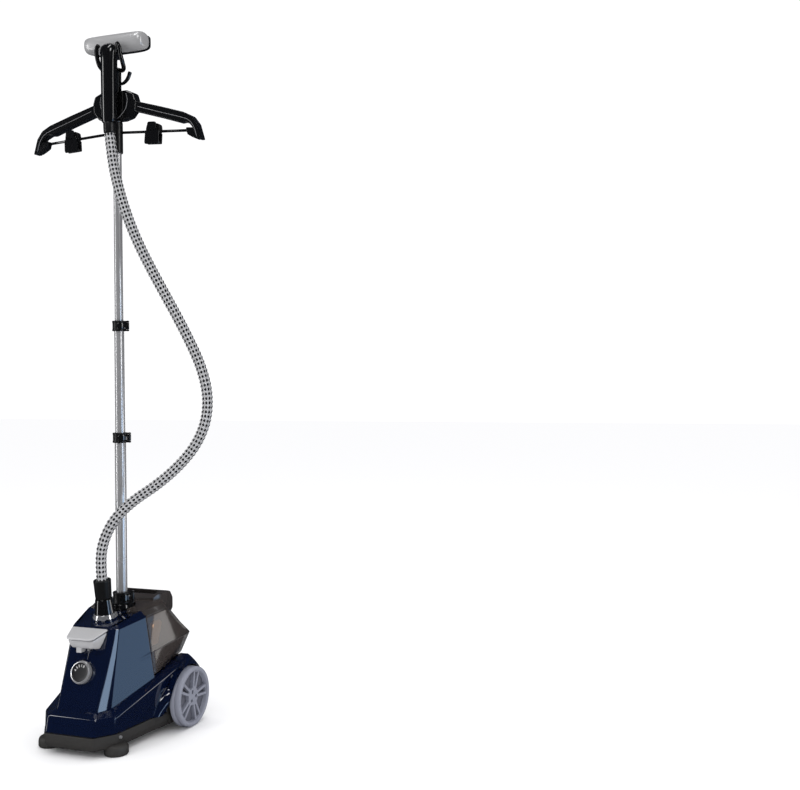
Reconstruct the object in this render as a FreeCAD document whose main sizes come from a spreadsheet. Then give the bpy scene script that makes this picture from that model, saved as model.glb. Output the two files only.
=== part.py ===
import FreeCAD, Part
import math
import os
import Sketcher

# Upright garment steamer, in millimetres.  X is the width, -Y the front, +Z up.
# The origin is on the floor, at the middle of the base's footprint.

V = FreeCAD.Vector
doc = FreeCAD.newDocument("garment_steamer")
sheet = doc.addObject("Spreadsheet::Sheet", "dims")


class D:
    """A number together with the spreadsheet expression it comes from."""

    def __init__(self, v, e):
        self.v, self.e = float(v), e

    def _op(self, o, sign, fn):
        o = o if isinstance(o, D) else D(o, repr(float(o)))
        return D(fn(self.v, o.v), "(%s %s %s)" % (self.e, sign, o.e))

    def __add__(self, o):
        return self._op(o, "+", lambda a, b: a + b)

    __radd__ = __add__

    def __sub__(self, o):
        return self._op(o, "-", lambda a, b: a - b)

    def __rsub__(self, o):
        return D(o, repr(float(o)))._op(self, "-", lambda a, b: a - b)

    def __mul__(self, o):
        return self._op(o, "*", lambda a, b: a * b)

    __rmul__ = __mul__

    def __truediv__(self, o):
        return self._op(o, "/", lambda a, b: a / b)

    def __neg__(self):
        return D(0, "0") - self


def val(d):
    return d.v if isinstance(d, D) else float(d)


TABLE = [
    # base
    ("front_y", -165), ("rear_y", 165), ("tray_bottom_z", 14), ("tray_top_z", 44), ("tray_wall", 3.5),
    ("foot_rad", 26), ("foot_x", 85), ("foot_y", -113), ("foot_top_z", 27),
    ("wheel_rad", 67), ("wheel_y", 96), ("wheel_in_x", 124), ("wheel_out_x", 150), ("axle_rad", 4), ("wheel_fit", 0.06),
    ("well_rad", 71), ("well_x", 118), ("wall", 3),
    ("panel_low_z", 90), ("panel_low_y", -137), ("panel_low_x", 49), ("panel_top_z", 253), ("panel_top_y", -82), ("panel_top_x", 45),
    ("seam_y", 9), ("deck_rear_z", 277.5), ("deck_rear_x", 67), ("deck_dip", 9),
    # knob and pedal
    ("knob_z", 164.5), ("knob_rad", 24.5), ("dial_rad", 20), ("knob_high", 12.5), ("knob_gap", 0.6), ("knob_shaft_rad", 4),
    ("pin_rad", 1.5),
    # hose connector, on an axis leaning 7 degrees to the front
    ("port_y", -30.5), ("port_z", 265.7), ("port_lean", 7), ("spigot_rad", 15), ("spigot_gap", 0.4),
    ("ring_low_rad", 27.5), ("ring_top_rad", 23.5), ("ring_high", 11), ("collar_high", 32.5), ("collar_top_rad", 18),
    ("cuff_low_rad", 17.5), ("cuff_top_rad", 19.5), ("cuff_high", 42), ("hose_rad", 12),
    # pole
    ("pole_y", 33), ("lower_rad", 12.5), ("lower_bore", 11.1), ("lower_low_z", 160), ("lower_top_z", 668),
    ("middle_rad", 11), ("middle_bore", 9.6), ("middle_low_z", 540), ("middle_top_z", 922),
    ("upper_rad", 9.5), ("upper_bore", 8), ("upper_low_z", 850), ("upper_top_z", 1480),
    ("collar_rad", 26.5), ("socket_rad", 25), ("column_rad", 30), ("notch_rad", 31.2), ("socket_clamp_rad", 20.5),
    ("clamp_low_z", 650), ("clamp_high", 23), ("clamp_rad", 17), ("clamp_up_z", 904), ("clamp_up_rad", 15.5),
    # hanger and head
    ("sleeve_low_z", 1309), ("sleeve_high", 72), ("sleeve_rad", 13), ("bar_rad", 3), ("bar_in_z", 1356), ("bar_out_z", 1346), ("bar_out_x", 192),
    ("arm_deep", 20), ("hub_deep", 24), ("post_rad", 11), ("prong_rad", 5), ("hook_rad", 3.5),
    ("head_y", 4.5), ("handle_low_z", 1373), ("handle_top_z", 1540), ("handle_wide", 36), ("handle_deep", 28),
    ("nozzle_half", 78), ("nozzle_y", 33), ("nozzle_deep", 44), ("nozzle_low_z", 1540), ("nozzle_high", 40), ("plate_thick", 5), ("head_cuff_low_z", 1350),
    # tank
    ("tank_wall", 2.5), ("tank_cap_y", 90), ("tank_cap_rad", 21), ("seat_rad", 26), ("plug_rad", 9),
]
P = {}
for row, (alias, number) in enumerate(TABLE, start=1):
    sheet.set("A%d" % row, alias)
    sheet.set("B%d" % row, str(number))
    sheet.setAlias("B%d" % row, alias)
    P[alias] = D(number, "dims." + alias)
doc.recompute()


def p(name):
    return P[name]


def bind(obj, prop, d):
    if isinstance(d, D):
        obj.setExpression(prop, d.e)


def place(obj, pos, axis=None, angle=0.0, about=None):
    rot = FreeCAD.Rotation()
    if axis is not None:
        rot = FreeCAD.Rotation(V(0, 0, 1), V(*[val(a) for a in axis]))
    if about is not None:
        rot = FreeCAD.Rotation(V(*about), angle)
    obj.Placement = FreeCAD.Placement(V(*[val(c) for c in pos]), rot)
    for c, k in zip(pos, "xyz"):
        bind(obj, "Placement.Base." + k, c)
    return obj


count = {}


def new(kind, name):
    count[name] = count.get(name, 0) + 1
    return doc.addObject(kind, name if count[name] == 1 else "%s_%d" % (name, count[name]))


def cyl(r, hgt, pos, axis=None):
    o = new("Part::Cylinder", "cyl")
    o.Radius, o.Height = val(r), val(hgt)
    bind(o, "Radius", r)
    bind(o, "Height", hgt)
    return place(o, pos, axis)


def cone(r1, r2, hgt, pos, axis=None):
    o = new("Part::Cone", "cone")
    o.Radius1, o.Radius2, o.Height = val(r1), val(r2), val(hgt)
    bind(o, "Radius1", r1)
    bind(o, "Radius2", r2)
    bind(o, "Height", hgt)
    return place(o, pos, axis)


def ball(r, pos):
    o = new("Part::Sphere", "ball")
    o.Radius = val(r)
    bind(o, "Radius", r)
    return place(o, pos)


def block(lo, hi):
    """A box from its lowest corner to its highest one."""
    o = new("Part::Box", "block")
    for prop, a, b in zip(("Length", "Width", "Height"), lo, hi):
        d = b - a
        setattr(o, prop, val(d))
        bind(o, prop, d)
    return place(o, lo)


def cut(a, b, name="cut"):
    o = new("Part::Cut", name)
    o.Base, o.Tool = a, (b if not isinstance(b, list) else fuse(b))
    return o


def fuse(items, name="joined"):
    if len(items) == 1:
        return items[0]
    o = new("Part::MultiFuse", name)
    o.Shapes = items
    return o


def common(items, name="common"):
    o = new("Part::MultiCommon", name)
    o.Shapes = items
    return o


def group(items, name):
    o = new("Part::Compound", name)
    o.Links = items
    return o


def plane(body, role):
    return [f for f in body.Origin.OriginFeatures if f.Role == role][0]


def sketch(body, role, offset=0.0):
    s = body.newObject("Sketcher::SketchObject", body.Name + "_sketch")
    s.AttachmentSupport = [(plane(body, role), "")]
    s.MapMode = "FlatFace"
    s.AttachmentOffset = FreeCAD.Placement(V(0, 0, val(offset)), FreeCAD.Rotation())
    bind(s, "AttachmentOffset.Base.z", offset)
    return s


def outline(s, pts):
    """Closes a polygon in a sketch; each corner is held at its two distances from the origin."""
    n, k0 = len(pts), s.GeometryCount
    for i in range(n):
        a, b = pts[i], pts[(i + 1) % n]
        s.addGeometry(Part.LineSegment(V(val(a[0]), val(a[1]), 0), V(val(b[0]), val(b[1]), 0)), False)
    for i in range(n):
        s.addConstraint(Sketcher.Constraint("Coincident", k0 + i, 2, k0 + (i + 1) % n, 1))
    for i in range(n):
        for axis, c in (("X", pts[i][0]), ("Y", pts[i][1])):
            if abs(val(c)) < 1e-9:
                s.addConstraint(Sketcher.Constraint("PointOnObject", k0 + i, 1, -2 if axis == "X" else -1))
            elif val(c) > 0:
                idx = s.addConstraint(Sketcher.Constraint("Distance" + axis, -1, 1, k0 + i, 1, val(c)))
                if isinstance(c, D):
                    s.setExpression("Constraints[%d]" % idx, c.e)
            else:
                idx = s.addConstraint(Sketcher.Constraint("Distance" + axis, k0 + i, 1, -1, 1, -val(c)))
                if isinstance(c, D):
                    s.setExpression("Constraints[%d]" % idx, (-c).e)
    return s


def circle(s, cx, cy, r):
    k = s.addGeometry(Part.Circle(V(val(cx), val(cy), 0), V(0, 0, 1), val(r)), False)
    idx = s.addConstraint(Sketcher.Constraint("Radius", k, val(r)))
    if isinstance(r, D):
        s.setExpression("Constraints[%d]" % idx, r.e)
    for axis, c in (("X", cx), ("Y", cy)):
        if abs(val(c)) < 1e-9:
            s.addConstraint(Sketcher.Constraint("PointOnObject", k, 3, -2 if axis == "X" else -1))
        elif val(c) > 0:
            s.addConstraint(Sketcher.Constraint("Distance" + axis, -1, 1, k, 3, val(c)))
        else:
            s.addConstraint(Sketcher.Constraint("Distance" + axis, k, 3, -1, 1, -val(c)))
    return s


def body(name):
    return new("PartDesign::Body", name)


def pad(b, s, length):
    f = b.newObject("PartDesign::Pad", b.Name + "_pad")
    f.Profile = s
    f.Length = val(length)
    bind(f, "Length", length)
    return f


def pocket(b, s, length, flip=False):
    f = b.newObject("PartDesign::Pocket", b.Name + "_pocket")
    f.Profile = s
    f.Length = val(length)
    bind(f, "Length", length)
    f.Reversed = flip
    return f


def turned(name, pts, role="XZ_Plane", axis="V_Axis"):
    """A solid of revolution from a closed half profile."""
    b = body(name)
    s = outline(sketch(b, role), pts)
    f = b.newObject("PartDesign::Revolution", name + "_turn")
    f.Profile = s
    f.ReferenceAxis = (s, [axis])
    f.Angle = 360
    return b


def padded(name, role, offset, length, pts):
    b = body(name)
    pad(b, outline(sketch(b, role, offset), pts), length)
    return b


def sides(pts):
    """Adds the mirrored half (-X) of an outline given for +X, front to back."""
    return list(pts) + [(-x, y) for x, y in reversed(pts)]


def faceted(name, corners, faces):
    """A faceted casing from its corners on the +X side; '-' after a name is the mirrored corner."""
    pts = {}
    for k, (x, y, z) in corners.items():
        pts[k] = V(val(x), val(y), val(z))
        pts[k + "-"] = V(-val(x), val(y), val(z))
    made = []
    for f in faces:
        w = [pts[k] for k in f.split()]
        keep = [q for i, q in enumerate(w) if q.distanceToPoint(w[i - 1]) > 1e-6]
        both = [keep]
        if not any(k.endswith("-") for k in f.split()):
            both.append([V(-q.x, q.y, q.z) for q in keep])
        for ring_ in both:
            up = (ring_[1] - ring_[0]).cross(ring_[2] - ring_[0])
            up.normalize()
            if all(abs((q - ring_[0]).dot(up)) < 1e-7 for q in ring_):
                made.append(Part.Face(Part.makePolygon(ring_ + [ring_[0]])))
            else:
                made += [Part.Face(Part.makePolygon([ring_[0], a, b, ring_[0]])) for a, b in zip(ring_[1:], ring_[2:])]
    shell = Part.Shell(made)
    shell.sewShape()
    solid = Part.Solid(Part.Shell(shell.Faces))
    if solid.Volume < 0:
        solid.reverse()
    o = new("Part::Feature", name)
    o.Shape = solid
    return o


def rods(r, pts):
    """Round bar through several points with ball joints at the turns."""
    items = []
    for a, b in zip(pts, pts[1:]):
        d = V(*b) - V(*a)
        items.append(cyl(r, d.Length, a, (d.x, d.y, d.z)))
    items += [ball(r, q) for q in pts[1:-1]]
    return items


NODES = []


def node(obj, name):
    obj.Label = name
    NODES.append((name, obj))
    return obj


# ------------------------------------------------------------------ casings
ZL, YL = p("panel_low_z"), p("panel_low_y")
slope = (val(p("panel_top_y")) - val(YL)) / (val(p("panel_top_z")) - val(ZL))


def panel_y(z):
    return val(YL) + (z - val(ZL)) * slope


def seam_y(z):
    return val(p("seam_y")) + (185 - z) * 0.042


def shoulder_z(y):
    """Height of the sloping crease along the flank of the casing."""
    return 80 + (y + 123) * 64 / 209.0


def tower(name, k, top):
    """Outer tower for k = 0; the cavity for k = wall thickness."""
    c = {
        "A": (49.5 - k, panel_y(70 if k == 0 else 40) + k * 1.2, 70 if k == 0 else 40),
        "B": (69 - k, (-105.4 if k == 0 else -112.5) + k, 70 if k == 0 else 40),
        "R": ((107.9 if k == 0 else 105) - k, seam_y(70 if k == 0 else 40) - k, 70 if k == 0 else 40),
        "M": (92 - k, seam_y(184.5) - k, 184.5),
        "C": (82 - k, seam_y(264 - k) - k, 264 - k),
        "E": (val(p("deck_rear_x")) - k, seam_y(277.5 - k * 1.6) - k, val(p("deck_rear_z")) - k * 1.6),
        "S": (61 - k, -62 + k, 254 - k),
        "F": (val(p("panel_top_x")) - k, panel_y(253 - k) + k * 1.2, 253 - k),
        "O": (0, seam_y(277.5 - val(p("deck_dip")) - k) - k, val(p("deck_rear_z")) - val(p("deck_dip")) - k),
    }
    f = ["A F F- A-", "A B S", "A S F", "B R M", "B M C", "B C S", "S C E", "S E F", "F E O", "F O F-",
         "A A- B- R- R B", "R R- M- M", "M M- C- C", "C C- E- O E"]
    return faceted(name, c, f)


def skirt(name, k):
    zb = 44 if k == 0 else 40
    c = {
        "a": (61 - k, -163 + k, zb), "b": (61 - k, -154 + k, 80 - k), "c": (49 - k, val(YL) + k, 90 - k),
        "d": (92 - k, -122 + k * 0.5, zb), "e": (90 - k, -123 + k * 0.5, 80 - k), "f": (68 - k, -100, 93 - k),
        "g": (106 - k, -1, zb), "h": (110.4 - k, -1, shoulder_z(-1) - k), "i": (99 - k, 12, 131.5 - k),
        "j": (128 - k, 88 - k, zb), "k": (125 - k, 88 - k, shoulder_z(88) - k), "l": (100 - k, 88 - k, 146.5 - k),
    }
    f = ["a d g j j- g- d- a-", "a b b- a-", "b c c- b-", "a d e", "a e b", "b e c", "c e f", "d g h", "d h e", "g j k", "g k h",
         "e h i", "e i f", "h k l", "h l i", "c f f- c-", "f i i- f-", "i l l- i-", "j k l l- k- j-"]
    return faceted(name, c, f)


# the parting line between front casing and rear cover climbs from the tray to the crease
front_side = faceted("front_side", {"a": (140, -200, 30), "b": (140, -19.0, 30), "c": (140, 260, 330), "d": (140, -200, 330)},
                     ["a a- d- d", "a a- b- b", "b b- c- c", "c c- d- d", "a b c d"])

outer_tower, inner_tower = tower("outer_tower", 0, 0), tower("inner_tower", val(p("wall")), 0)
outer_skirt, inner_skirt = skirt("outer_skirt", 0), skirt("inner_skirt", val(p("wall")))

PY = p("pole_y")
column = cyl(p("column_rad"), 120, (0, PY, 150))
column_bore = cyl(p("socket_rad"), 200, (0, PY, 150))

lean = math.radians(val(p("port_lean")))
HN = (0.0, -math.sin(lean), math.cos(lean))


def along(s):
    """Point at distance s up the hose connector's axis."""
    return (0.0, val(p("port_y")) + HN[1] * s, val(p("port_z")) + HN[2] * s)


nrm = math.hypot(1, slope)
KN = (0.0, -1 / nrm, slope / nrm)
KC = (0.0, panel_y(val(p("knob_z"))), val(p("knob_z")))


def knob_at(s):
    return (0.0, KC[1] + KN[1] * s, KC[2] + KN[2] * s)


# space taken by the tank above the rear of the base
tank_low = {"slope": 0.175}


def tank_floor(y):
    return 133.5 + 0.175 * (y - 12.5)


tank_room = faceted("tank_room", {
    "a": (101, seam_y(128) + 0.35, tank_floor(12.5) - 0.6), "b": (101, seam_y(330) + 0.35, 330), "c": (101, 143, 330), "d": (101, 143, tank_floor(143) - 0.6)},
    ["a a- b- b", "b b- c- c", "c c- d- d", "a a- d- d", "a b c d"])

front_outer = common([fuse([outer_tower, outer_skirt], "front_mass"), front_side], "front_outer")
front_hollow = common([fuse([inner_tower, inner_skirt], "front_void"), front_side], "front_hollow")
main = cut(fuse([cut(front_outer, front_hollow), cut(column, cyl(p("column_rad"), 200, (0, PY, 271)))], "front_shell"),
           [column_bore, tank_room, cyl(p("seat_rad"), 60, (0, p("tank_cap_y"), 100)), cyl(p("spigot_rad"), 30, along(-28), HN), cyl(p("knob_shaft_rad") + 0.5, 20, knob_at(-12), KN)], "main_housing")
node(main, "main_housing")

# rear cover: the flanks behind the parting line, the arches over the wheels and the shelf under the tank
arch = padded("arch_side", "YZ_Plane", -136, 272, [(40, 44), (40, 117), (62, 136), (86, 146.5), (98, 157), (108, 161), (123, 152), (144, 133), (160, 112), (p("rear_y"), 95), (p("rear_y"), 60), (158, 44)])
arch_plan = padded("arch_plan", "XY_Plane", 40, 140, sides([(112, 20), (126, 60), (136, 88), (136, val(p("rear_y")) - 12), (126, p("rear_y"))]))
arch_in = padded("arch_in", "YZ_Plane", -115, 230, [(-30, 40), (-30, 80), (8, 112), (40, 128), (120, 142), (140, 130), (155, 110), (162, 93), (162, 62), (154, 40)])
behind = common([outer_skirt, cut(block((-140, -60, 40), (140, 90, 170)), front_side)], "flank_rear")
wells = [cyl(p("well_rad"), 60, (p("well_x"), p("wheel_y"), p("wheel_rad")), (1, 0, 0)),
         cyl(p("well_rad"), 60, (-p("well_x"), p("wheel_y"), p("wheel_rad")), (-1, 0, 0))]
arch_all = cut(common([arch, arch_plan], "arches"), front_side)
rear_mass = fuse([behind, arch_all], "rear_mass")
rear = cut(rear_mass, [common([cut(arch_in, front_side), block((-115, -60, 30), (115, 200, 170))]), tank_room,
                       cyl(p("seat_rad"), 60, (0, p("tank_cap_y"), 100)), cyl(p("column_rad") + 0.2, 90, (0, PY, 90)),
                       cyl(8, 20, (-60, 150, 78), (0, 1, 0)),
                       cyl(6, 60, (100, p("wheel_y"), p("wheel_rad")), (1, 0, 0)), cyl(6, 60, (-100, p("wheel_y"), p("wheel_rad")), (-1, 0, 0))] + wells, "rear_cover")
node(rear, "rear_cover")

# tray with a rounded pad under each front corner and brackets for the axle
tray = body("tray_body")
ol = [(61, p("front_y")), (93, -122), (107, -1), (115, 40), (115, p("rear_y"))]
w = val(p("tray_wall"))
il = [(59, val(p("front_y")) + w), (89, -120.5), (103.5, -1), (111.5, 40), (111.5, val(p("rear_y")) - w)]
pad(tray, outline(sketch(tray, "XY_Plane", p("tray_bottom_z")), sides(ol)), p("tray_top_z") - p("tray_bottom_z"))
pocket(tray, outline(sketch(tray, "XY_Plane", p("tray_top_z")), sides(il)), p("tray_top_z") - p("tray_bottom_z") - w)
feet_cyl = [cyl(p("foot_rad"), p("foot_top_z"), (sx * p("foot_x"), p("foot_y"), 0)) for sx in (1, -1)]
brackets = [block((sx * 105 - 5, p("wheel_y") - 11, 17.5), (sx * 105 + 5, p("wheel_y") + 11, 79)) for sx in (1, -1)]
side_screws = [cyl(3.2, 8, (sx * 88.5, -112, 36), (sx, 0, 0)) for sx in (1, -1)]
low_screws = [cyl(3.4, 6, (sx * x, y, 13.4)) for sx in (1, -1) for x, y in ((50, -130), (88, 140))]
axle = cyl(p("axle_rad"), 283, (-141.5, p("wheel_y"), p("wheel_rad")), (1, 0, 0))
node(cut(fuse([tray] + brackets, "tray_mass"), feet_cyl + side_screws + low_screws + [axle], "base_tray"), "base_tray")
node(group([cyl(p("foot_rad"), p("foot_top_z"), (sx * p("foot_x"), p("foot_y"), 0)) for sx in (1, -1)], "front_feet"), "front_feet")
node(group(side_screws + low_screws + [cyl(3.2, 4, (7, panel_y(210.5) - 5.4, 211.5), (0, 1, 0))], "housing_screws"), "housing_screws")
node(axle, "wheel_axle")
node(group([cut(cyl(8, 1.6, (sx * 120, p("wheel_y"), p("wheel_rad")), (sx, 0, 0)), cyl(p("axle_rad"), 5, (sx * 118.5, p("wheel_y"), p("wheel_rad")), (sx, 0, 0))) for sx in (1, -1)], "axle_clips"), "axle_clips")

# power cord inlet: a flanged bush in the rear wall
node(cut(cyl(8, 10, (-60, val(p("rear_y")) - 10, 78), (0, 1, 0)), cyl(3.6, 20, (-60, val(p("rear_y")) - 15, 78), (0, 1, 0)), "cord_gland"), "cord_gland")

# ------------------------------------------------------------------ wheels
WI, WO, WR = p("wheel_in_x"), p("wheel_out_x"), p("wheel_rad")
br = p("axle_rad") + p("wheel_fit")
prof = [(WI, br), (142, br), (142, 0), (147, 0), (147, 17), (143, 20), (142, 52), (WO, 56), (WO, WR - 3), (WO - 2, WR), (WI + 2, WR), (WI, WR - 3), (WI, 58), (136, 55), (136, 20), (WI, 14)]
for side, sx in (("right", 1), ("left", -1)):
    wheel = turned("wheel_" + side, prof, "XY_Plane", "H_Axis")
    place(wheel, (0, p("wheel_y"), p("wheel_rad")), about=(0, 0, 1), angle=0 if sx > 0 else 180)
    node(wheel, "wheel_" + side)

# ------------------------------------------------------------------ pedal switch
def py(z):
    return panel_y(z) - 0.05


bowl = faceted("bowl", {"a": (45, py(246.5), 246.5), "b": (36, -118, 231.5), "c": (27, -115, 221), "d": (33, py(215), 215)},
               ["a b b- a-", "b c c- b-", "c d d- c-", "a d d- a-", "a b c", "a c d"])
bowl_pin = cyl(p("pin_rad"), 74, (-37, -93, 240), (1, 0, 0))
bowl_tab = block((-16, -112.5, 207), (-3, py(207) - 1.5, 221))
node(cut(fuse([bowl, bowl_tab], "bowl_mass"), [block((-31, -112, 225.5), (31, -94.2, 262)), bowl_pin, block((-31, -98, 234.5), (31, py(234.5) - 1, 262))], "pedal_housing"), "pedal_housing")
lid = faceted("lid", {"a": (45.5, -85.2, 255), "b": (37.5, -121, 242.5), "c": (37.5, -121, 238.5), "d": (45.5, -85.2, 251),
                      "e": (30, -127, 240.4), "g": (30, -127, 236.8)},
              ["a b b- a-", "b e e- b-", "d c c- d-", "c g g- c-", "a a- d- d", "a b c d", "b e g c", "e e- g- g"])
ears = [block((sx * 24 - 4, -96.4, 236.8), (sx * 24 + 4, -90.2, 250.5)) for sx in (1, -1)]
node(cut(fuse([lid] + ears, "lid_mass"), cyl(p("pin_rad") + 0.05, 100, (-50, -93, 240), (1, 0, 0)), "pedal_plate"), "pedal_plate")
node(bowl_pin, "pedal_pin")
node(fuse([block((-8, -110, 225.5), (8, -99, 232)), cyl(2.5, 9.5, (0, -105, 232))], "power_switch"), "power_switch")

# ------------------------------------------------------------------ knob
ring = cut(cyl(p("knob_rad"), p("knob_high"), knob_at(val(p("knob_gap"))), KN), cyl(p("dial_rad"), 40, knob_at(-5), KN), "knob_ring")
node(ring, "knob_ring")
dial = fuse([cyl(p("dial_rad"), p("knob_high") - 2, knob_at(val(p("knob_gap"))), KN), cyl(p("knob_shaft_rad"), 24, knob_at(-22), KN)], "knob_dial")
node(dial, "knob_dial")
node(cut(cyl(14, 20, knob_at(-26), KN), cyl(p("knob_shaft_rad") + 0.08, 30, knob_at(-23), KN), "selector_switch"), "selector_switch")

# ------------------------------------------------------------------ hose connector
port = fuse([cone(33, 27.5, 17, along(-17.2), HN), cyl(p("spigot_rad"), 68, along(-28), HN)], "port_mass")
keep_out = cut(outer_tower, cyl(p("spigot_rad"), 30, along(-28), HN), "deck_keep")
node(cut(cut(port, keep_out), cyl(8, 80, along(-30), HN), "hose_port"), "hose_port")
lock_bore = p("spigot_rad") + p("spigot_gap")
node(cut(cone(p("ring_low_rad"), p("ring_top_rad"), p("ring_high"), along(0.3), HN), cyl(lock_bore, 30, along(-5), HN), "hose_ring"), "hose_ring")
node(cut(cone(p("ring_top_rad"), p("collar_top_rad"), p("collar_high"), along(0.3 + val(p("ring_high"))), HN), cyl(lock_bore, 60, along(5), HN), "hose_collar"), "hose_collar")
cuff = cut(fuse([cyl(p("spigot_rad"), 6, along(40), HN), cone(p("cuff_low_rad"), p("cuff_top_rad"), p("cuff_high"), along(44.4), HN)], "cuff_mass"),
           cyl(p("hose_rad") - 3, 60, along(35), HN), "hose_cuff")
node(cuff, "hose_cuff")

# ------------------------------------------------------------------ pole
def tube(name, r, bore, z0, z1):
    b = body(name)
    s = sketch(b, "XY_Plane", z0)
    circle(s, 0, 0, r)
    circle(s, 0, 0, bore)
    pad(b, s, z1 - z0)
    place(b, (0, PY, 0))
    return b


node(tube("pole_lower", p("lower_rad"), p("lower_bore"), p("lower_low_z"), p("lower_top_z")), "pole_lower")
node(tube("pole_middle", p("middle_rad"), p("middle_bore"), p("middle_low_z"), p("middle_top_z")), "pole_middle")
node(tube("pole_upper", p("upper_rad"), p("upper_bore"), p("upper_low_z"), p("upper_top_z")), "pole_upper")

socket = cut(fuse([cyl(p("socket_rad"), 121, (0, PY, 150)), cone(p("collar_rad"), 24, 14, (0, PY, 271))], "socket_mass"), cyl(p("lower_rad"), 200, (0, PY, p("lower_low_z"))), "pole_socket")
node(socket, "pole_socket")


def clamp(name, z0, hgt, r, bore_low, bore_top, z_top, ang, pad_deg):
    """Split clamp ring with two ears, and the lever that turns on a pin between the ears."""
    a = math.radians(ang)
    cx, cy = (val(r) + 4) * math.cos(a), val(PY) + (val(r) + 4) * math.sin(a)
    h1 = val(hgt)
    ear = 4.0
    ears_ = []
    for zz in (val(z0), val(z0) + h1 - ear):
        rib = block((0, -4, 0), (val(r) + 4, 4, ear))
        rib.Placement = FreeCAD.Placement(V(0, val(PY), zz), FreeCAD.Rotation(V(0, 0, 1), ang)).multiply(FreeCAD.Placement(V(0, -4, 0), FreeCAD.Rotation()))
        ears_ += [rib, cyl(4, ear, (cx, cy, zz))]
    ringb = fuse([cyl(r, hgt, (0, PY, z0))] + ears_, name + "_mass")
    cuts = [cyl(bore_low, z_top - z0, (0, PY, z0)), cyl(bore_top, hgt, (0, PY, z0)), cyl(p("pin_rad") + 0.05, h1 + 2, (cx, cy, val(z0) - 1))]
    node(cut(ringb, cuts, name), name)
    r1, r2 = val(r) + 0.5, val(r) + 3.0
    z1 = val(z0) + ear + 0.4
    hh = h1 - 2 * ear - 0.8
    sector = new("Part::Cylinder", name + "_sector")
    sector.Radius, sector.Height, sector.Angle = r2, hh, pad_deg
    sector.Placement = FreeCAD.Placement(V(0, val(PY), z1), FreeCAD.Rotation(V(0, 0, 1), ang - pad_deg))
    shell_ = cut(sector, cyl(r1, hh + 2, (0, PY, z1 - 1)))
    knuckle = cut(cyl(3.6, hh, (cx, cy, z1)), cyl(r1, hh + 2, (0, PY, z1 - 1)))
    node(fuse([shell_, knuckle, cyl(p("pin_rad"), h1, (cx, cy, z0))], name + "_lever"), name + "_lever")


clamp("socket_clamp", 285, 26, p("socket_clamp_rad"), p("lower_rad"), p("lower_rad"), D(311, "311"), 35, 100)
clamp("clamp_lower", p("clamp_low_z"), p("clamp_high"), p("clamp_rad"), p("lower_rad"), p("middle_rad") + 0.1, p("lower_top_z"), 20, 90)
clamp("clamp_upper", p("clamp_up_z"), p("clamp_high") + 1, p("clamp_up_rad"), p("middle_rad"), p("upper_rad") + 0.1, p("middle_top_z"), 20, 90)

# ------------------------------------------------------------------ hanger
slope_bar = (val(p("bar_out_z")) - val(p("bar_in_z"))) / (val(p("bar_out_x")) - 12)
bl = math.hypot(1, slope_bar)


def bar(sx, r, x0=12.0, x1=None):
    x1 = val(p("bar_out_x")) if x1 is None else x1
    return cyl(r, (x1 - x0) * bl, (sx * x0, PY, val(p("bar_in_z")) + (x0 - 12) * slope_bar), (sx / bl, 0, slope_bar / bl))


right = [(0, 1450), (30, 1449), (51, 1440), (58, 1423), (120, 1405), (180, 1386), (203, 1372), (218, 1349), (225, 1321), (214, 1320), (209, 1330), (189, 1335), (181, 1347), (168, 1362), (120, 1380), (62, 1398), (50, 1386), (36, 1381.2), (0, 1381.2)]
arms = padded("arms", "XZ_Plane", -(PY + p("arm_deep") / 2), p("arm_deep"), right + [(-x, z) for x, z in reversed(right) if x > 0])
hub = padded("hub", "XZ_Plane", -(PY + p("hub_deep") / 2), p("hub_deep"), [(x, z) for x, z in [(30, 1449), (51, 1440), (57, 1420), (54, 1402), (44, 1388), (28, 1381.2)]] + [(-x, z) for x, z in [(28, 1381.2), (44, 1388), (54, 1402), (57, 1420), (51, 1440), (30, 1449)]])
node(cut(fuse([arms, hub], "hanger_mass"), [cyl(p("upper_rad"), 400, (0, PY, 1200)), bar(1, p("bar_rad")), bar(-1, p("bar_rad"))], "hanger"), "hanger")
node(cut(cyl(p("sleeve_rad"), p("sleeve_high"), (0, PY, p("sleeve_low_z"))), [cyl(p("upper_rad"), 400, (0, PY, 1200)), bar(1, p("bar_rad")), bar(-1, p("bar_rad"))], "hanger_sleeve"), "hanger_sleeve")
node(bar(1, p("bar_rad")), "trouser_bar_right")
node(bar(-1, p("bar_rad")), "trouser_bar_left")

for side, sx, xc in (("right", 1, 98.0), ("left", -1, 120.0)):
    zb = val(p("bar_in_z")) + (xc - 12) * slope_bar
    here = FreeCAD.Placement(V(sx * xc, val(PY), zb), FreeCAD.Rotation(V(0, 1, 0), -math.degrees(math.atan(slope_bar)) * sx))

    def local(o):
        o.Placement = here.multiply(o.Placement)
        return o

    solid = [local(block((-19, -5.5, -6), (19, 6, 8))), local(block((-19, 2.5, -28), (19, 6, -5.9))), local(block((-19, -5.5, -28), (19, 2.6, -22)))]
    solid += [local(block((s * 16.5 - 2.5, -13, 7.9), (s * 16.5 + 2.5, 5, 18))) for s in (1, -1)]
    solid += [local(block((s * 16.5 - 2.5, -13, 4), (s * 16.5 + 2.5, -5.4, 8))) for s in (1, -1)]
    hole = [local(cyl(p("bar_rad") + 0.1, 60, (-30, 0, 0), (1, 0, 0))), local(cyl(1.55, 60, (-30, -9, 12), (1, 0, 0)))]
    node(cut(fuse(solid, "clip_mass"), hole, "clip_" + side), "clip_" + side)
    jaw = [local(block((-18, -9.5, -28), (18, -6, 2))), local(block((-13.4, -9.5, 1.9), (13.4, -6, 12))), local(cyl(3.2, 26.8, (-13.4, -9, 12), (1, 0, 0))),
           local(cyl(1.5, 38, (-19, -9, 12), (1, 0, 0))), local(block((-13.4, -11.5, 12), (13.4, -8, 21)))]
    node(fuse(jaw, "clip_jaw_" + side), "clip_jaw_" + side)

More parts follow.
